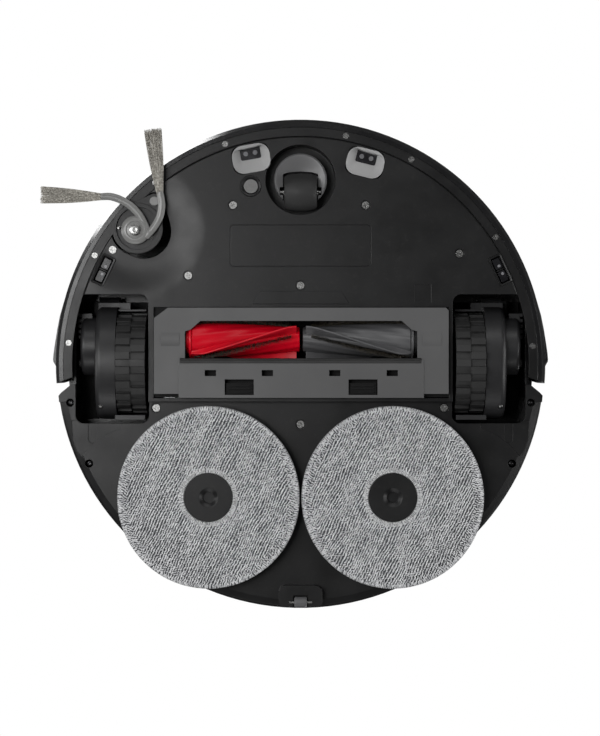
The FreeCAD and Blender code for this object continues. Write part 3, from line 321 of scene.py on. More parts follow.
class Build:
    """Collects vertices and faces for one piece, in metres."""

    def __init__(self):
        self.points, self.faces = [], []

    def rings(self, rings, closed_ends=True):
        """Skin over a row of rings with the same number of points."""
        start, n = len(self.points), len(rings[0])
        for ring in rings:
            self.points.extend(Vector(p) for p in ring)
        for i in range(len(rings) - 1):
            for k in range(n):
                a, b = start + i * n + k, start + i * n + (k + 1) % n
                self.faces.append((a, b, b + n, a + n))
        if closed_ends:
            self.faces.append(tuple(start + k for k in reversed(range(n))))
            last = start + (len(rings) - 1) * n
            self.faces.append(tuple(last + k for k in range(n)))

    def strand(self, path, radii, sides=5):
        """Round strand along a path; radii holds one radius per point."""
        rings = []
        for i, point in enumerate(path):
            ahead = path[min(i + 1, len(path) - 1)] - path[max(i - 1, 0)]
            ahead.normalize()
            across = ahead.cross(Vector((0, 0, 1)))
            if across.length < 1e-6:
                across = ahead.cross(Vector((1, 0, 0)))
            across.normalize()
            above = across.cross(ahead)
            rings.append([point + (across * math.cos(a) + above * math.sin(a)) * radii[i]
                          for a in around(sides)])
        self.rings(rings)

    def lathe(self, profile, origin, axis="Z", segments=96):
        """Turned shape; profile holds (distance along the axis, radius)."""
        rings = []
        for along, radius in profile:
            ring = []
            for a in around(segments):
                c, s = radius * math.cos(a), radius * math.sin(a)
                spot = (c, s, along) if axis == "Z" else (along, c, s)
                ring.append(Vector(origin) + Vector(spot))
            rings.append(ring)
        self.rings(rings)

    def piece(self, name, material, body, slot=None, sharp=0.6):
        """Finished piece that rides on a body; edges bent by more than sharp radians stay crisp."""
        mesh = bpy.data.meshes.new(name)
        mesh.from_pydata([tuple(p) for p in self.points], [], self.faces)
        mesh.validate()
        mesh.update()
        obj = bpy.data.objects.new(name, mesh)
        bpy.context.scene.collection.objects.link(obj)
        mesh.materials.append(MATERIALS[material])
        mesh.shade_smooth()
        mesh.set_sharp_from_angle(angle=sharp)
        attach(obj, body)
        return obj


def recalculated(obj):
    """Normals of a closed mesh turned outwards."""
    bm = bmesh.new()
    bm.from_mesh(obj.data)
    bmesh.ops.recalc_face_normals(bm, faces=bm.faces)
    bm.to_mesh(obj.data)
    bm.free()
    return obj


# ---------------------------------------------------------------- mop pads

ROW_PITCH, LOOP_PITCH = 1.75 * MM, 1.55 * MM
ROW_HEADING = math.radians(-64)
ROW_WANDER = 1.7 * MM
HUB_HOLE = 17.4 * MM                # opening round the turntable's hub
PILE_Z = 1.55                       # foot of the loops above the pad's lowest level, in millimetres
PILE_EDGE = 2.6 * MM                # bare strip between the hub hole and the first loops
FRINGE_FROM = 62.6 * MM             # radius where the loops end
RADIAL_RIM = 5 * MM                 # loops this near the rim lean outwards
FRINGE_LAYERS = ((300, 61.8, 4.2), (330, 62.6, 3.6), (260, 63.2, 2.8))   # count, starting radius, reach
FRINGE_TAPER = (1.0, 1.15, 1.1, 0.95, 0.45)
PAD_GAP = 0.75                      # fringe stays this far from the middle plane between the pads
COLLAR_RINGS = ((17.5, 19.4, 110), (19.1, 20.9, 124))                    # inner and outer radius, count
YARN_STOPS = ((-1, 0.55), (-0.45, 0.95), (0.1, 1.05), (0.6, 0.9), (1, 0.5))   # place along a loop, thickness


def yarn_loop(build, rng, base, heading, length, thick, rise, tilt):
    """One standing loop of yarn: a short arched strand that leans on its neighbours."""
    ahead = turn(heading)
    path, radii = [], []
    for t, swell in YARN_STOPS:
        bend = left_of(ahead) * (0.35 * thick * math.sin(t * 2.5 + tilt))
        path.append(base + ahead * (t * length / 2) + bend - Vector((0, 0, rise * (1 - t * t))))
        radii.append(thick * swell * rng.uniform(0.85, 1.1))
    build.strand(path, radii)


def pad_backing(mid, low, high):
    """Ring of cloth with a rolled rim, open round the hub."""
    radius = (high.x - low.x) / 2
    thick = high.z - low.z
    segments = 96
    backing = Build()
    rim = [(thick, radius - 1.5 * MM), (4.6 * MM, radius), (2.6 * MM, radius - 0.4 * MM),
           (1.9 * MM, radius - 2.5 * MM)]
    hole = [(1.6 * MM, HUB_HOLE + 4 * MM), (1.2 * MM, HUB_HOLE + 0.3 * MM), (3.0 * MM, HUB_HOLE)]
    backing.lathe([(thick, HUB_HOLE)] + rim + hole, (mid.x, mid.y, low.z), segments=segments)
    backing.faces = [face for face in backing.faces if len(face) == 4]
    last = len(backing.points) - segments
    for k in range(segments):
        backing.faces.append((last + k, last + (k + 1) % segments, (k + 1) % segments, k))
    return backing


def pad_pile(rng, mid, low, radius, sign):
    """Rows of loops over the whole face, with the rows wandering a little."""
    pile = Build()
    rows = int(2 * radius / ROW_PITCH) + 2
    for row in range(-rows // 2, rows // 2 + 1):
        along = -radius + rng.uniform(0, LOOP_PITCH)
        while along < radius:
            along += LOOP_PITCH * rng.uniform(0.75, 1.3)
            drift = noise.noise(Vector((row * 0.13, along * 55, sign * 4.0))) * ROW_WANDER
            across = row * ROW_PITCH + drift + rng.uniform(-0.2, 0.2) * MM
            spot = turn(ROW_HEADING) * along + turn(ROW_HEADING + math.pi / 2) * across
            reach = spot.length
            if reach > FRINGE_FROM or reach < HUB_HOLE + PILE_EDGE:
                continue
            lean = ROW_HEADING + rng.uniform(-0.5, 0.5)
            if reach > FRINGE_FROM - RADIAL_RIM:
                lean = math.atan2(spot.y, spot.x) + rng.uniform(-0.7, 0.7)
            base = Vector((mid.x, mid.y, low.z + PILE_Z * MM)) + spot
            yarn_loop(pile, rng, base, lean, rng.uniform(1.7, 2.6) * MM, rng.uniform(0.42, 0.62) * MM,
                      rng.uniform(0.35, 0.85) * MM, rng.uniform(-1, 1))
    return pile


def pad_fringe(rng, mid, low, sign):
    """Loose yarn ends round the rim, in layers one above the other."""
    fringe = Build()
    edge = abs(mid.x) / MM - PAD_GAP
    for layer, (count, start, reach) in enumerate(FRINGE_LAYERS):
        for k in range(count):
            a = 2 * math.pi * (k + rng.uniform(-0.35, 0.35)) / count
            sway = rng.uniform(-0.4, 0.4)
            length = min(reach * rng.uniform(0.55, 1.12), rng.uniform(0.9, 1.0) * (edge - start)) * MM
            height = low.z + (1.5 + layer * 1.3 + rng.uniform(-0.4, 0.5)) * MM
            path, radii = [], []
            for i, swell in enumerate(FRINGE_TAPER):
                t = i / (len(FRINGE_TAPER) - 1)
                point = turn(a) * (start * MM + length * t) + turn(a + math.pi / 2) * (sway * length * t * t)
                sag = -0.6 * MM * math.sin(t * math.pi)
                path.append(Vector((mid.x, mid.y, height + sag)) + point)
                radii.append(rng.uniform(0.34, 0.5) * MM * swell)
            if all(sign * p.x > 0.2 * MM for p in path):
                fringe.strand(path, radii)
    return fringe


def pad_collar(rng, mid, low):
    """Two rings of short stitches round the hub hole."""
    collar = Build()
    for ring, (inner, outer, count) in enumerate(COLLAR_RINGS):
        for k in range(count):
            a = 2 * math.pi * (k + 0.5 * ring + rng.uniform(-0.15, 0.15)) / count
            skew = rng.uniform(-0.02, 0.02)
            points = [Vector((mid.x, mid.y, low.z + (1.5 - 0.7 * math.sin(t * math.pi)) * MM))
                      + turn(a + skew * t) * ((inner + (outer - inner) * t) * MM) for t in (0, 0.35, 0.7, 1)]
            collar.strand(points, [0.36 * MM, 0.46 * MM, 0.46 * MM, 0.34 * MM])
    return collar


def mop_pad(side, sign):
    low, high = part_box("mop_pad_" + side)
    mid = (low + high) / 2
    rng = random.Random(11 if sign > 0 else 23)
    backing = pad_backing(mid, low, high)
    pile = pad_pile(rng, mid, low, (high.x - low.x) / 2, sign)
    fringe = pad_fringe(rng, mid, low, sign)
    collar = pad_collar(rng, mid, low)
    body = "mop_" + side
    # the backing wears the dark gap yarn: painted shade between the loops
    whole = backing.piece("mop_backing_" + side, "microfibre_gap_shade", body, slot="microfibre")
    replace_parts(whole, "mop_pad_" + side)
    for build, name, cloth in ((pile, "mop_pile_", "microfibre"), (fringe, "mop_fringe_", "microfibre"),
                               (collar, "mop_collar_", "microfibre_edge")):
        build.piece(name + side, cloth, body, slot="microfibre", sharp=UNBROKEN)


for side, sign in SIDES:
    mop_pad(side, sign)


# ---------------------------------------------------------------- brush rolls

ROLL_Y, ROLL_Z, ROLL_R = -17.7 * MM, 18.9 * MM, 17.8 * MM
BLADES = 3
BLADE_START, BLADE_TURN = math.radians(-43), math.radians(-85)
CORE_R = (13.7 * MM, 8.6 * MM)                   # at the outer and the inner end
CORE_END_R = 11 * MM
CORE_SIDES, CORE_STATIONS = 96, 28
RIBS, RIB_DEPTH = 12, 0.22 * MM
NOSE = in_mm((0.2, 8.0), (0.35, 6.5), (0.4, 3.0), (0.3, 0.4))     # distance past the core's end, radius
STUB = in_mm((6.6, 2.6), (6.4, 3.0), (2.2, 3.0), (2.0, 10.6), (0.3, 11.0))
FLANGE = in_mm((0.1, 11.5), (0.1, 13.6), (0.4, 14.2), (1.5, 14.3), (2.0, 14.0), (2.0, 12.0))
TIP_END_R, TIP_RISE = 13.9 * MM, 10 * MM         # blade tip at the outer end, and how soon it is full height
TIP_FALL_FROM, TIP_FALL = 0.86, 2.6 * MM         # the tip drops again towards the inner end
BLADE_STATIONS = 25
BLADE_SKIN = ((0, -1.5), (0.25, -0.8))           # share of the height, half width in millimetres
BLADE_TIP = ((0.35 * MM, -0.62), (0, -0.3))      # depth below the tip, half width in millimetres
HAIR_ROWS, HAIR_TUFTS, TUFT_HAIRS = 2, 74, 5
HAIR_ROOT, HAIR_R = 0.3 * MM, (0.13 * MM, 0.12 * MM, 0.08 * MM)
HAIR_SHORT_TO, HAIR_SHORT_R = 0.12, 14.2 * MM    # hair stays inside the flange at the outer end


def roll_point(x, radius, angle):
    return Vector((x, ROLL_Y + radius * math.cos(angle), ROLL_Z + radius * math.sin(angle)))


def core_r(t):
    return CORE_R[0] + (CORE_R[1] - CORE_R[0]) * t


def roll_core(x_outer, x_inner, sign):
    """Ribbed tapered core with its bearing stub and its rounded nose."""
    rings = []
    for i in range(CORE_STATIONS + 1):
        t = i / CORE_STATIONS
        radius = core_r(t) if i else CORE_END_R
        x = x_outer + (x_inner - x_outer) * t
        rings.append([roll_point(x, radius + RIB_DEPTH * math.cos(RIBS * (a - BLADE_TURN * t)), a)
                      for a in around(CORE_SIDES)])
    nose = [[roll_point(x_inner + sign * d, r, a) for a in around(CORE_SIDES)] for d, r in NOSE]
    stub = [[roll_point(x_outer - sign * d, r, a) for a in around(CORE_SIDES)] for d, r in STUB]
    core = Build()
    core.rings(stub + rings + nose)
    return core


def roll_blade(blades, x_outer, x_inner, start):
    """One rubber blade, wide at its root and rounded at its tip."""
    sections = []
    for i in range(BLADE_STATIONS):
        t = 0.02 + 0.955 * i / (BLADE_STATIONS - 1)
        a = start + BLADE_TURN * t
        rise = min(1.0, t * abs(x_inner - x_outer) / TIP_RISE)
        fall = TIP_FALL * max(0, (t - TIP_FALL_FROM) / (1 - TIP_FALL_FROM)) ** 2
        top = TIP_END_R + (ROLL_R - TIP_END_R) * rise - fall
        root = core_r(t) - 0.5 * MM
        flank = [(root + share * (top - root), half) for share, half in BLADE_SKIN]
        flank += [(top - depth, half) for depth, half in BLADE_TIP]
        flank += [(r, -half) for r, half in reversed(flank)]
        across = Vector((0, -math.sin(a), math.cos(a)))
        sections.append([roll_point(x_outer + (x_inner - x_outer) * t, r, a) + across * (half * MM)
                         for r, half in flank])
    blades.rings(sections)


def roll_hair(hair, rng, x_outer, x_inner, start):
    """Rows of short bristles on the core behind one blade."""
    for row in range(HAIR_ROWS):
        for i in range(HAIR_TUFTS):
            t = 0.05 + 0.87 * (i + rng.uniform(-0.25, 0.25)) / (HAIR_TUFTS - 1)
            a = start + BLADE_TURN * t + math.radians(20 + 5 * row)
            x = x_outer + (x_inner - x_outer) * t
            length = (15.9 + rng.uniform(-0.5, 0.7)) * MM
            reach = max(min(length, core_r(t) + 6.5 * MM), core_r(t) + 0.8 * MM)
            if t < HAIR_SHORT_TO:
                reach = min(reach, HAIR_SHORT_R)
            for _ in range(TUFT_HAIRS):
                spread = rng.uniform(-0.05, 0.05)
                shift = rng.uniform(-0.7, 0.7) * MM
                root = roll_point(x + shift * 0.4, core_r(t) - HAIR_ROOT, a + spread * 0.4)
                tip = roll_point(x + shift, reach, a + spread * 1.6)
                hair.strand([root, (root + tip) / 2, tip], HAIR_R, sides=3)


def brush_roll(side, x_outer, x_inner, core_slot, blade_slot):
    rng = random.Random(5)
    sign = 1 if x_inner > x_outer else -1
    body = "roll_" + side
    core = roll_core(x_outer, x_inner, sign)
    shell = recalculated(core.piece("brush_core_" + side, core_slot, body))
    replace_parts(shell, "roll_core_" + side, "roll_blades_" + side)
    flange = Build()
    flange.lathe([(sign * d, r) for d, r in FLANGE], (x_outer, ROLL_Y, ROLL_Z), axis="X")
    recalculated(flange.piece("brush_flange_" + side, core_slot, body))
    blades, hair = Build(), Build()
    for k in range(BLADES):
        start = BLADE_START + 2 * math.pi * k / BLADES
        roll_blade(blades, x_outer, x_inner, start)
        roll_hair(hair, rng, x_outer, x_inner, start)
    recalculated(blades.piece("brush_blades_" + side, blade_slot, body))
    hair.piece("brush_hair_" + side, "dark_bristle", body, slot="bristle", sharp=UNBROKEN)


brush_roll("left", -79.6 * MM, -0.9 * MM, "red_plastic", "red_rubber")
brush_roll("right", 80.7 * MM, 1.9 * MM, "grey_plastic", "grey_rubber")


# ---------------------------------------------------------------- side brush

BRUSH = Vector((-117.2, -95.3, 0)) * MM
ARM_PATHS = (((-108.4, -92.5), (-110.2, -98.0), (-114.2, -105.6), (-120.3, -112.2), (-127.5, -116.6),
              (-134.8, -118.9), (-141.5, -118.8)),
             ((-110.0, -90.2), (-104.6, -96.4), (-100.4, -103.4), (-98.6, -110.6), (-98.8, -116.8),
              (-99.8, -122.4)))
BRISTLE_TIPS = ((-184.2, -120.0), (-104.6, -166.8))
HUB_DOME = in_mm((9.7, 2.0), (9.7, 6.0), (7.6, 6.2), (7.4, 9.6), (6.4, 10.3), (5.0, 10.1), (3.9, 9.0),
                 (3.3, 7.4), (3.3, 6.6), (4.0, 6.0), (3.7, 4.6), (3.45, 2.4), (3.4, 0.2))   # height, radius
HUB_SCREW = in_mm((3.9, 4.3), (3.1, 4.1), (2.8, 3.2), (2.75, 1.9), (3.2, 1.6), (3.3, 0.2))
ARM_STATIONS = 26
ARM_Z, ARM_SINK = 5.2, 1.2                       # height at the hub, and how much the arm comes down outwards
ARM_HALF_WIDTH, ARM_SWELL, ARM_HALF_THICK = 2.5, 0.25, 1.5
ARM_CORNERS = (0.6, 0.8)                         # exponents that square the section
RIDGES, RIDGE_R, RIDGE_DEPTH = (-1.1, 0.2, 1.2), 0.22 * MM, 1.42
BUNDLE_HAIRS, HAIR_STATIONS = 260, 9
BUNDLE_HALF, BUNDLE_FLARE, BUNDLE_FALL = 2.1, 4.1, 3.0
BUNDLE_Z, BUNDLE_ROOT = 4.0, 2.5 * MM            # height at the arm's end, and how far the hairs sit in it


def smooth_path(points, count):
    """Catmull-Rom curve through plan points given in millimetres."""
    pts = [Vector((x * MM, y * MM, 0)) for x, y in points]
    pts = [pts[0] * 2 - pts[1]] + pts + [pts[-1] * 2 - pts[-2]]
    out = []
    for i in range(count):
        u = i / (count - 1) * (len(pts) - 3)
        k = min(int(u), len(pts) - 4)
        t = u - k
        a, b, c, d = pts[k:k + 4]
        out.append(0.5 * ((2 * b) + (c - a) * t + (2 * a - 5 * b + 4 * c - d) * t ** 2
                          + (3 * b - a - 3 * c + d) * t ** 3))
    return out


def across_line(line, i):
    ahead = (line[min(i + 1, len(line) - 1)] - line[max(i - 1, 0)]).normalized()
    return left_of(ahead)


def brush_arm(arms, line):
    """Flat curved arm with a rounded oblong section."""
    sections = []
    for i, point in enumerate(line):
        t = i / (len(line) - 1)
        across = across_line(line, i)
        width = (ARM_HALF_WIDTH + ARM_SWELL * math.sin(t * math.pi)) * MM
        thick = ARM_HALF_THICK * MM
        z = (ARM_Z - ARM_SINK * t) * MM
        ring = []
        for a in around(12):
            sideways = math.copysign(abs(math.cos(a)) ** ARM_CORNERS[0], math.cos(a))
            upwards = math.copysign(abs(math.sin(a)) ** ARM_CORNERS[1], math.sin(a))
            ring.append(point + across * (sideways * width) + Vector((0, 0, z + upwards * thick)))
        sections.append(ring)
    arms.rings(sections)


def arm_ridges(ridges, line):
    """Thin ridges along the arm's lower face."""
    for off in RIDGES:
        path = []
        for i in range(2, len(line)):
            t = i / (len(line) - 1)
            path.append(line[i] + across_line(line, i) * off * MM
                        + Vector((0, 0, (ARM_Z - ARM_SINK * t - RIDGE_DEPTH) * MM)))
        ridges.strand(path, [RIDGE_R] * len(path))


def bristle_bundle(hair, rng, end, tip):
    """Bundle of bristles that flares and sinks towards its tip."""
    reach = Vector((tip[0] * MM, tip[1] * MM, 0)) - end
    ahead = reach.normalized()
    across = left_of(ahead)
    for _ in range(BUNDLE_HAIRS):
        lane = rng.uniform(-1, 1)
        level = rng.uniform(-1, 1)
        height = Vector((0, 0, (BUNDLE_Z + level * 0.9) * MM))
        root = end - ahead * BUNDLE_ROOT + across * lane * BUNDLE_HALF * MM + height
        length = reach.length * rng.uniform(0.93, 1.0) + BUNDLE_ROOT
        bow = rng.uniform(-1.2, 1.2) * MM
        path, radii = [], []
        for i in range(HAIR_STATIONS):
            t = i / (HAIR_STATIONS - 1)
            flare = lane * BUNDLE_FLARE * t ** 1.2 * MM
            fall = (BUNDLE_FALL * t ** 1.4 - level * 0.3 * t) * MM
            path.append(root + ahead * (length * t) + across * (flare + bow * math.sin(t * math.pi))
                        - Vector((0, 0, fall)))
            radii.append((0.16 - 0.05 * t) * MM)
        hair.strand(path, radii, sides=4)


def side_brush():
    rng = random.Random(3)
    hub = Build()
    hub.lathe(HUB_DOME, BRUSH, segments=72)
    shape = recalculated(hub.piece("side_brush_dome", "brush_grey", "side_brush"))
    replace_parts(shape, "side_brush_hub")
    cap = Build()
    cap.lathe(HUB_SCREW, BRUSH, segments=48)
    recalculated(cap.piece("side_brush_screw", "steel", "side_brush"))
    arms, ridges, hair = Build(), Build(), Build()
    for path, tip in zip(ARM_PATHS, BRISTLE_TIPS):
        line = smooth_path(path, ARM_STATIONS)
        brush_arm(arms, line)
        arm_ridges(ridges, line)
        bristle_bundle(hair, rng, line[-1], tip)
    recalculated(arms.piece("side_brush_arms", "brush_grey", "side_brush"))
    ridges.piece("side_brush_ridges", "brush_grey", "side_brush")
    fan = hair.piece("side_brush_hair", "bristle", "side_brush", sharp=UNBROKEN)
    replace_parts(fan, "side_brush_bristles")


side_brush()


# ---------------------------------------------------------------- sensors, caster and small metal parts

FRONT_SENSORS = ((-35.1, -146.5, -10), (46.0, -143.5, 14))       # X and Y in millimetres, turn in degrees
SIDE_SENSORS = ((-140.5, -67.2, 25), (142.2, -67.2, -25))
CARPET_SENSOR = (-35.4 * MM, -126.8 * MM, 0)
CUP_CORNER, CUP_TOP, CUP_HIGH = 7.8, 10.25, 20.5
EYES = (0, -4.6)                                 # the front sensor's eyes sit off the funnel's middle
RING_TRAVEL, RING_INSIDE, RING_BELOW = 3.5, 162.2, 12.4
CASTER_Y = -131.4
AXLE_END = in_mm((11.5, 0.2), (11.5, 2.0), (12.9, 2.0), (13.2, 1.5), (14.6, 1.5), (14.7, 0.2))
CASTER_WHEEL = (0, -122.6 * MM, 13.5 * MM)
WHEEL_AXLE = (0, -1.0 * MM, 36 * MM)
ARM_SCREW, ARM_SCREW_LEAN = (142.9, 30.3, 16.9), math.radians(42)
DEEP_SCREWS = ((164.9, 27.4), (151.3, 71.0))     # mirrored on the left side
POD_SCREWS = ((-129.2, -97.0), (-106.4, -90.4))


def outline(cx, cy, width, depth, corner, angle, shift=(0, 0)):
    """Rounded rectangle in plan, turned by an angle in degrees; all sizes in millimetres."""
    turned, steps = math.radians(angle), 10
    points = []
    for qx, qy, start in ((1, 1, 0), (-1, 1, 90), (-1, -1, 180), (1, -1, 270)):
        for k in range(steps):
            a = math.radians(start + 90 * k / (steps - 1))
            x = qx * (width / 2 - corner) + corner * math.cos(a) + shift[0]
            y = qy * (depth / 2 - corner) + corner * math.sin(a) + shift[1]
            points.append((cx + x * math.cos(turned) - y * math.sin(turned),
                           cy + x * math.sin(turned) + y * math.cos(turned)))
    return points


def at_height(points, z):
    return [Vector((x * MM, y * MM, z * MM)) for x, y in points]


def clear_of_ring(points):
    """Keeps points inside the bumper's lower ring where the ring stands when it is pressed in."""
    kept = []
    for x, y in points:
        pull = min(1.0, RING_INSIDE / math.hypot(x, y - RING_TRAVEL))
        kept.append((x * pull, RING_TRAVEL + (y - RING_TRAVEL) * pull))
    return kept


def between(first, second, t):
    return [(ax + (bx - ax) * t, ay + (by - ay) * t) for (ax, ay), (bx, by) in zip(first, second)]


def front_sensor(cups, glass, eyes_and_glints, x, y, angle):
    """Pale funnel with a dark window and two eyes at its bottom."""
    top = outline(x, y, 26.6, 19.6, CUP_CORNER, angle)
    low = outline(x, y, 14.6, 9.0, 1.2, angle, shift=EYES)
    outer = outline(x, y, 26.9, 19.9, CUP_CORNER + 0.1, angle)
    low_kept, outer_kept = clear_of_ring(low), clear_of_ring(outer)
    cups.rings([at_height(low_kept, CUP_HIGH), at_height(low_kept, 18.2),
                at_height(clear_of_ring(between(top, low, 0.27)), RING_BELOW), at_height(top, CUP_TOP),
                at_height(outer, 10.1), at_height(outer, RING_BELOW - 0.1), at_height(outer_kept, RING_BELOW),
                at_height(outer_kept, CUP_HIGH)], closed_ends=False)
    glass.rings([at_height(outline(x, y, 14.4, 8.8, 1.2, angle, shift=EYES), z) for z in (19.6, 18.9)])
    for side in (-1, 1):
        eye = outline(x, y, 3.2, 3.2, 1.5, angle, shift=(side * 3.4, EYES[1]))
        eyes_and_glints.rings([at_height(eye, z) for z in (19.0, 18.6)])


def side_sensor(dark, glass, eyes_and_glints, x, y, angle):
    """Dark frame with two windows, a bar between them and a small pale square in each as a painted glint."""
    ring_out = outline(x, y, 9.8, 21.8, 1.4, angle)
    ring_in = outline(x, y, 7.4, 19.4, 0.9, angle)
    deep_in = outline(x, y, 6.2, 18.2, 0.7, angle)
    half_in = between(ring_in, deep_in, 0.5)
    out_kept = clear_of_ring(ring_out)
    dark.rings([at_height(clear_of_ring(deep_in), 14.0), at_height(clear_of_ring(half_in), RING_BELOW),
                at_height(ring_in, 10.6), at_height(ring_out, 10.3), at_height(ring_out, RING_BELOW - 0.1),
                at_height(out_kept, RING_BELOW), at_height(out_kept, 14.0)], closed_ends=False)
    for shift in (-4.8, 4.8):
        pane = outline(x, y, 5.2, 7.6, 0.8, angle, shift=(0, shift))
        glass.rings([at_height(pane, z) for z in (13.4, 12.6, 12.4)])
        # painted highlight: a small pale square in each window stands for a glint
        glint_square = outline(x, y, 1.9, 1.9, 0.9, angle, shift=(0.5, shift * 0.62))
        eyes_and_glints.rings([at_height(glint_square, z) for z in (12.5, 12.1)])
    dark.rings([at_height(outline(x, y, 5.4, 0.8, 0.1, angle), z) for z in (13.6, 12.0)])


def floor_sensors():
    """Front and side floor sensors and the dark ring of the carpet sensor."""
    cups, dark, glass, eyes_and_glints = Build(), Build(), Build(), Build()
    for place in FRONT_SENSORS:
        front_sensor(cups, glass, eyes_and_glints, *place)
    for place in SIDE_SENSORS:
        side_sensor(dark, glass, eyes_and_glints, *place)
    dark.lathe(in_mm((16, 5.3), (11.4, 5.3), (10.9, 5.6), (10.3, 7.0), (10.4, 7.4), (16, 7.4)),
               CARPET_SENSOR, segments=64)
    funnels = cups.piece("front_sensor_cups", "silver_paint", "chassis", slot="sensor_grey", sharp=0.5)
    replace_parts(recalculated(funnels), "floor_sensor_holders")
    recalculated(dark.piece("side_sensor_frames", "black_plastic", "chassis"))
    window = recalculated(glass.piece("sensor_glass", "sensor_window", "chassis", sharp=0.4))
    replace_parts(window, "cliff_sensor_windows")
    recalculated(eyes_and_glints.piece("sensor_eyes_and_glints", "eye_and_glint_glass", "chassis", slot="sensor_window"))


def cut_by(obj, cutter):
    """Takes a cutter piece out of a piece and leaves plain mesh."""
    modifier = obj.modifiers.new("cut", "BOOLEAN")
    modifier.operation, modifier.object, modifier.solver = "DIFFERENCE", cutter, "EXACT"
    graph = bpy.context.evaluated_depsgraph_get()
    mesh = bpy.data.meshes.new_from_object(obj.evaluated_get(graph))
    obj.modifiers.clear()
    old, obj.data = obj.data, mesh
    bpy.data.objects.remove(cutter)
    bpy.data.meshes.remove(old)
    mesh.shade_smooth()
    mesh.set_sharp_from_angle(angle=0.6)


def plain_cutter(sections):
    build = Build()
    build.rings(sections)
    mesh = bpy.data.meshes.new("cutter")
    mesh.from_pydata([tuple(p) for p in build.points], [], build.faces)
    obj = bpy.data.objects.new("cutter", mesh)
    bpy.context.scene.collection.objects.link(obj)
    return recalculated(obj)


def fork_slot():
    """Plan of the opening for the barrel wheel, wider where the axle sits."""
    front = [(-12.5, -135.4), (-8.0, -136.9), (0, -137.5), (8.0, -136.9), (12.5, -135.4)]
    right = [(12.5, -126.2), (14.9, -126.2), (14.9, -120.4), (12.5, -120.4), (12.5, -100)]
    return front + right + [(-x, y) for x, y in reversed(right)]


def caster():
    """Swivel fork with a dished face, its barrel wheel and the silver axle ends."""
    fork = Build()
    fork.lathe(in_mm((28.6, 12.0), (28.6, 18.4), (14.0, 18.9), (11.4, 18.7), (10.2, 17.6), (10.6, 15.5),
                     (12.2, 11.0), (13.2, 6.0), (13.6, 0.3)), (0, CASTER_Y * MM, 0), segments=128)
    obj = recalculated(fork.piece("caster_fork_face", "caster_plastic", "caster", slot="black_plastic"))
    cut_by(obj, plain_cutter([at_height(fork_slot(), 27.2), at_height(fork_slot(), 0)]))
    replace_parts(obj, "caster_fork")
    wheel = Build()
    half = [(-11.7, 0.3), (-11.7, 10.2), (-11.3, 11.4), (-9.8, 12.3), (-7, 12.95), (-3.5, 13.3), (0, 13.45)]
    wheel.lathe(in_mm(*half, *[(-x, r) for x, r in reversed(half[:-1])]), CASTER_WHEEL, axis="X")
    tread = recalculated(wheel.piece("caster_barrel", "dark_rubber", "caster_roller"))
    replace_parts(tread, "caster_wheel")
    pin = Build()
    for side in (-1, 1):
        pin.lathe([(side * x, r) for x, r in AXLE_END], CASTER_WHEEL, axis="X", segments=32)
    recalculated(pin.piece("caster_axle_ends", "steel", "caster_roller"))


def wheel_metal(name, side):
    """Axle end of a drive wheel and the screw in its drop arm."""
    end = Build()
    end.lathe([(side * x, r) for x, r in in_mm((159.5, 3.02), (159.9, 2.9), (160.05, 2.2), (160.1, 0.2))],
              WHEEL_AXLE, axis="X", segments=32)
    recalculated(end.piece("axle_end_" + name, "steel", "drive_wheel_" + name))
    head = Build()
    head.lathe(in_mm((0.9, 0.4), (0.9, 1.7), (-0.1, 1.7), (-0.5, 1.2), (-0.6, 0.2)), (0, 0, 0), segments=24)
    screw = head.piece("arm_screw_" + name, "steel", "drop_arm_" + name)
    x, y, z = ARM_SCREW
    seat = Matrix.Translation((side * x * MM, y * MM, z * MM))
    screw.data.transform(seat @ Matrix.Rotation(ARM_SCREW_LEAN, 4, "X"))
    recalculated(screw)


def small_screws():
    """Deep screws near the rim and the two in the pod of the side brush."""
    deep = Build()
    for x, y in DEEP_SCREWS:
        for side in (-1, 1):
            deep.lathe(in_mm((24.5, 0.3), (24.5, 2.5), (23.4, 2.5), (22.9, 1.9), (22.8, 0.9), (23.4, 0.8),
                             (23.5, 0.1)), (side * x * MM, y * MM, 0), segments=32)
    recalculated(deep.piece("deep_screws", "dark_metal", "chassis", slot="steel"))
    pod = Build()
    for x, y in POD_SCREWS:
        pod.lathe(in_mm((9.9, 0.3), (9.9, 1.5), (9.2, 1.5), (8.9, 1.0), (8.85, 0.2)), (x * MM, y * MM, 0),
                  segments=24)
    recalculated(pod.piece("pod_screws", "steel", "brush_swing_arm"))


floor_sensors()
caster()
for side, sign in SIDES:
    wheel_metal(side, sign)
small_screws()


# ---------------------------------------------------------------- camera, lights, floor

CAMERA_DISTANCE, FACE_Z = 1.6, 0.01              # from the floor's plane, and the underside's height above it
VIEW_HEIGHT, VIEW_X, VIEW_Y = 0.5236, -0.0004, 0.0026
SENSOR_MM = 24
FLOOR_HALF, FLOOR_Z = 4.0, -0.0006
ORIGIN = (0, 0, 0)
LIGHTS = (                                       # name, place, aim, size in metres, watts
    ("below_left", (-0.70, -0.15, -1.36), (-0.08, 0, 0), (0.45, 1.0), 12),
    ("below_front", (0.1, -1.05, -1.0), ORIGIN, (1.2, 0.4), 3.5),
    ("below_right", (1.25, 0.35, -0.6), ORIGIN, (0.4, 1.2), 5),
    ("below_rear", (-0.3, 1.3, -0.6), ORIGIN, (1.2, 0.4), 3.5),
    ("rim_left", (-1.2, 0.0, -0.2), ORIGIN, (0.3, 1.2), 4),
    ("rim_right", (1.2, -0.2, -0.2), ORIGIN, (0.3, 1.2), 4),
    ("above_key", (-0.9, -1.1, 1.5), ORIGIN, (1.0, 1.0), 26),
    ("above_fill", (1.2, 0.9, 1.3), ORIGIN, (1.0, 1.0), 14),
)
SOFT_LIGHT, SEEN_LIGHT = 0.09, 1.0               # what the white room adds, and how bright the camera sees it


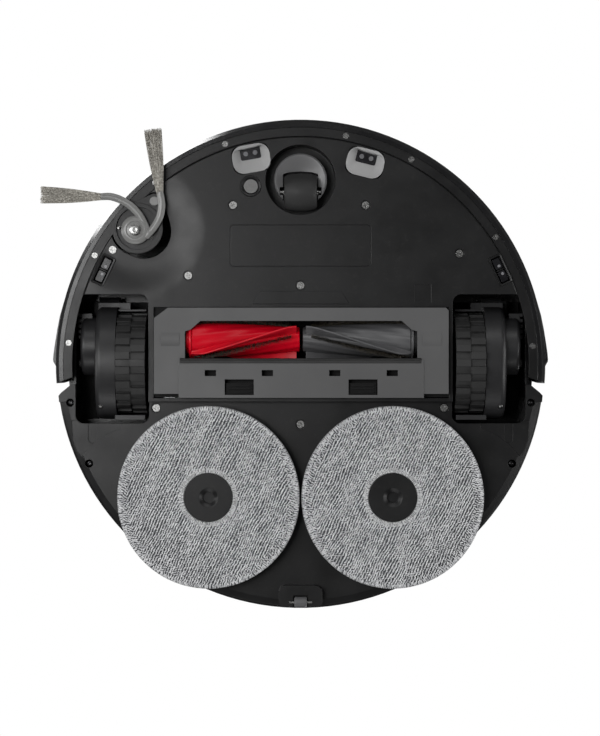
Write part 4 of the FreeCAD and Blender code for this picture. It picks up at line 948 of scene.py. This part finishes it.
def camera():
    """Straight up from below, so that front is at the top of the picture."""
    cam = bpy.data.cameras.new("camera")
    obj = bpy.data.objects.new("camera", cam)
    bpy.context.scene.collection.objects.link(obj)
    obj.location = (VIEW_X, VIEW_Y, -CAMERA_DISTANCE)
    obj.rotation_euler = (math.pi, 0, 0)
    cam.sensor_fit = "VERTICAL"
    cam.sensor_height = SENSOR_MM
    cam.lens = SENSOR_MM * (CAMERA_DISTANCE + FACE_Z) / VIEW_HEIGHT
    cam.clip_end = 50
    bpy.context.scene.camera = obj


def area_light(name, place, aim, size, watts):
    data = bpy.data.lights.new(name, "AREA")
    data.shape = "RECTANGLE"
    data.size, data.size_y = size
    data.energy = watts
    obj = bpy.data.objects.new(name, data)
    bpy.context.scene.collection.objects.link(obj)
    obj.location = place
    obj.rotation_euler = (Vector(aim) - Vector(place)).to_track_quat("-Z", "Y").to_euler()
    obj.visible_camera = False


def world():
    """White room that lights softly and shows pure white to the camera."""
    made = bpy.data.worlds.new("studio")
    bpy.context.scene.world = made
    made.use_nodes = True
    tree = made.node_tree
    soft, seen = tree.nodes["Background"], tree.nodes.new("ShaderNodeBackground")
    for background, strength in ((soft, SOFT_LIGHT), (seen, SEEN_LIGHT)):
        background.inputs["Color"].default_value = (1, 1, 1, 1)
        background.inputs["Strength"].default_value = strength
    path, mix = tree.nodes.new("ShaderNodeLightPath"), tree.nodes.new("ShaderNodeMixShader")
    tree.links.new(path.outputs["Is Camera Ray"], mix.inputs["Fac"])
    tree.links.new(soft.outputs["Background"], mix.inputs[1])
    tree.links.new(seen.outputs["Background"], mix.inputs[2])
    tree.links.new(mix.outputs["Shader"], tree.nodes["World Output"].inputs["Surface"])


def floor_material():
    """Pale and matt from above, clear from below."""
    material = bpy.data.materials.new("floor")
    material.use_nodes = True
    tree = material.node_tree
    bsdf = tree.nodes["Principled BSDF"]
    bsdf.inputs["Base Color"].default_value = (0.78, 0.78, 0.78, 1)
    bsdf.inputs["Roughness"].default_value = 0.7
    side, clear = tree.nodes.new("ShaderNodeNewGeometry"), tree.nodes.new("ShaderNodeBsdfTransparent")
    mix = tree.nodes.new("ShaderNodeMixShader")
    tree.links.new(side.outputs["Backfacing"], mix.inputs["Fac"])
    tree.links.new(bsdf.outputs["BSDF"], mix.inputs[1])
    tree.links.new(clear.outputs["BSDF"], mix.inputs[2])
    tree.links.new(mix.outputs["Shader"], tree.nodes["Material Output"].inputs["Surface"])
    return material


def floor():
    """Pale floor under the tyres. Its underside lets the view from below through."""
    mesh = bpy.data.meshes.new("floor")
    corners = [(x * FLOOR_HALF, y * FLOOR_HALF, FLOOR_Z) for x, y in ((-1, -1), (1, -1), (1, 1), (-1, 1))]
    mesh.from_pydata(corners, [], [(0, 1, 2, 3)])
    obj = bpy.data.objects.new("floor", mesh)
    bpy.context.scene.collection.objects.link(obj)
    mesh.materials.append(floor_material())
    obj.visible_shadow = False
    obj.visible_diffuse = False
    obj.visible_glossy = False
    obj.visible_transmission = False


camera()
for light in LIGHTS:
    area_light(*light)
world()
floor()
bpy.context.scene.view_settings.view_transform = "Standard"
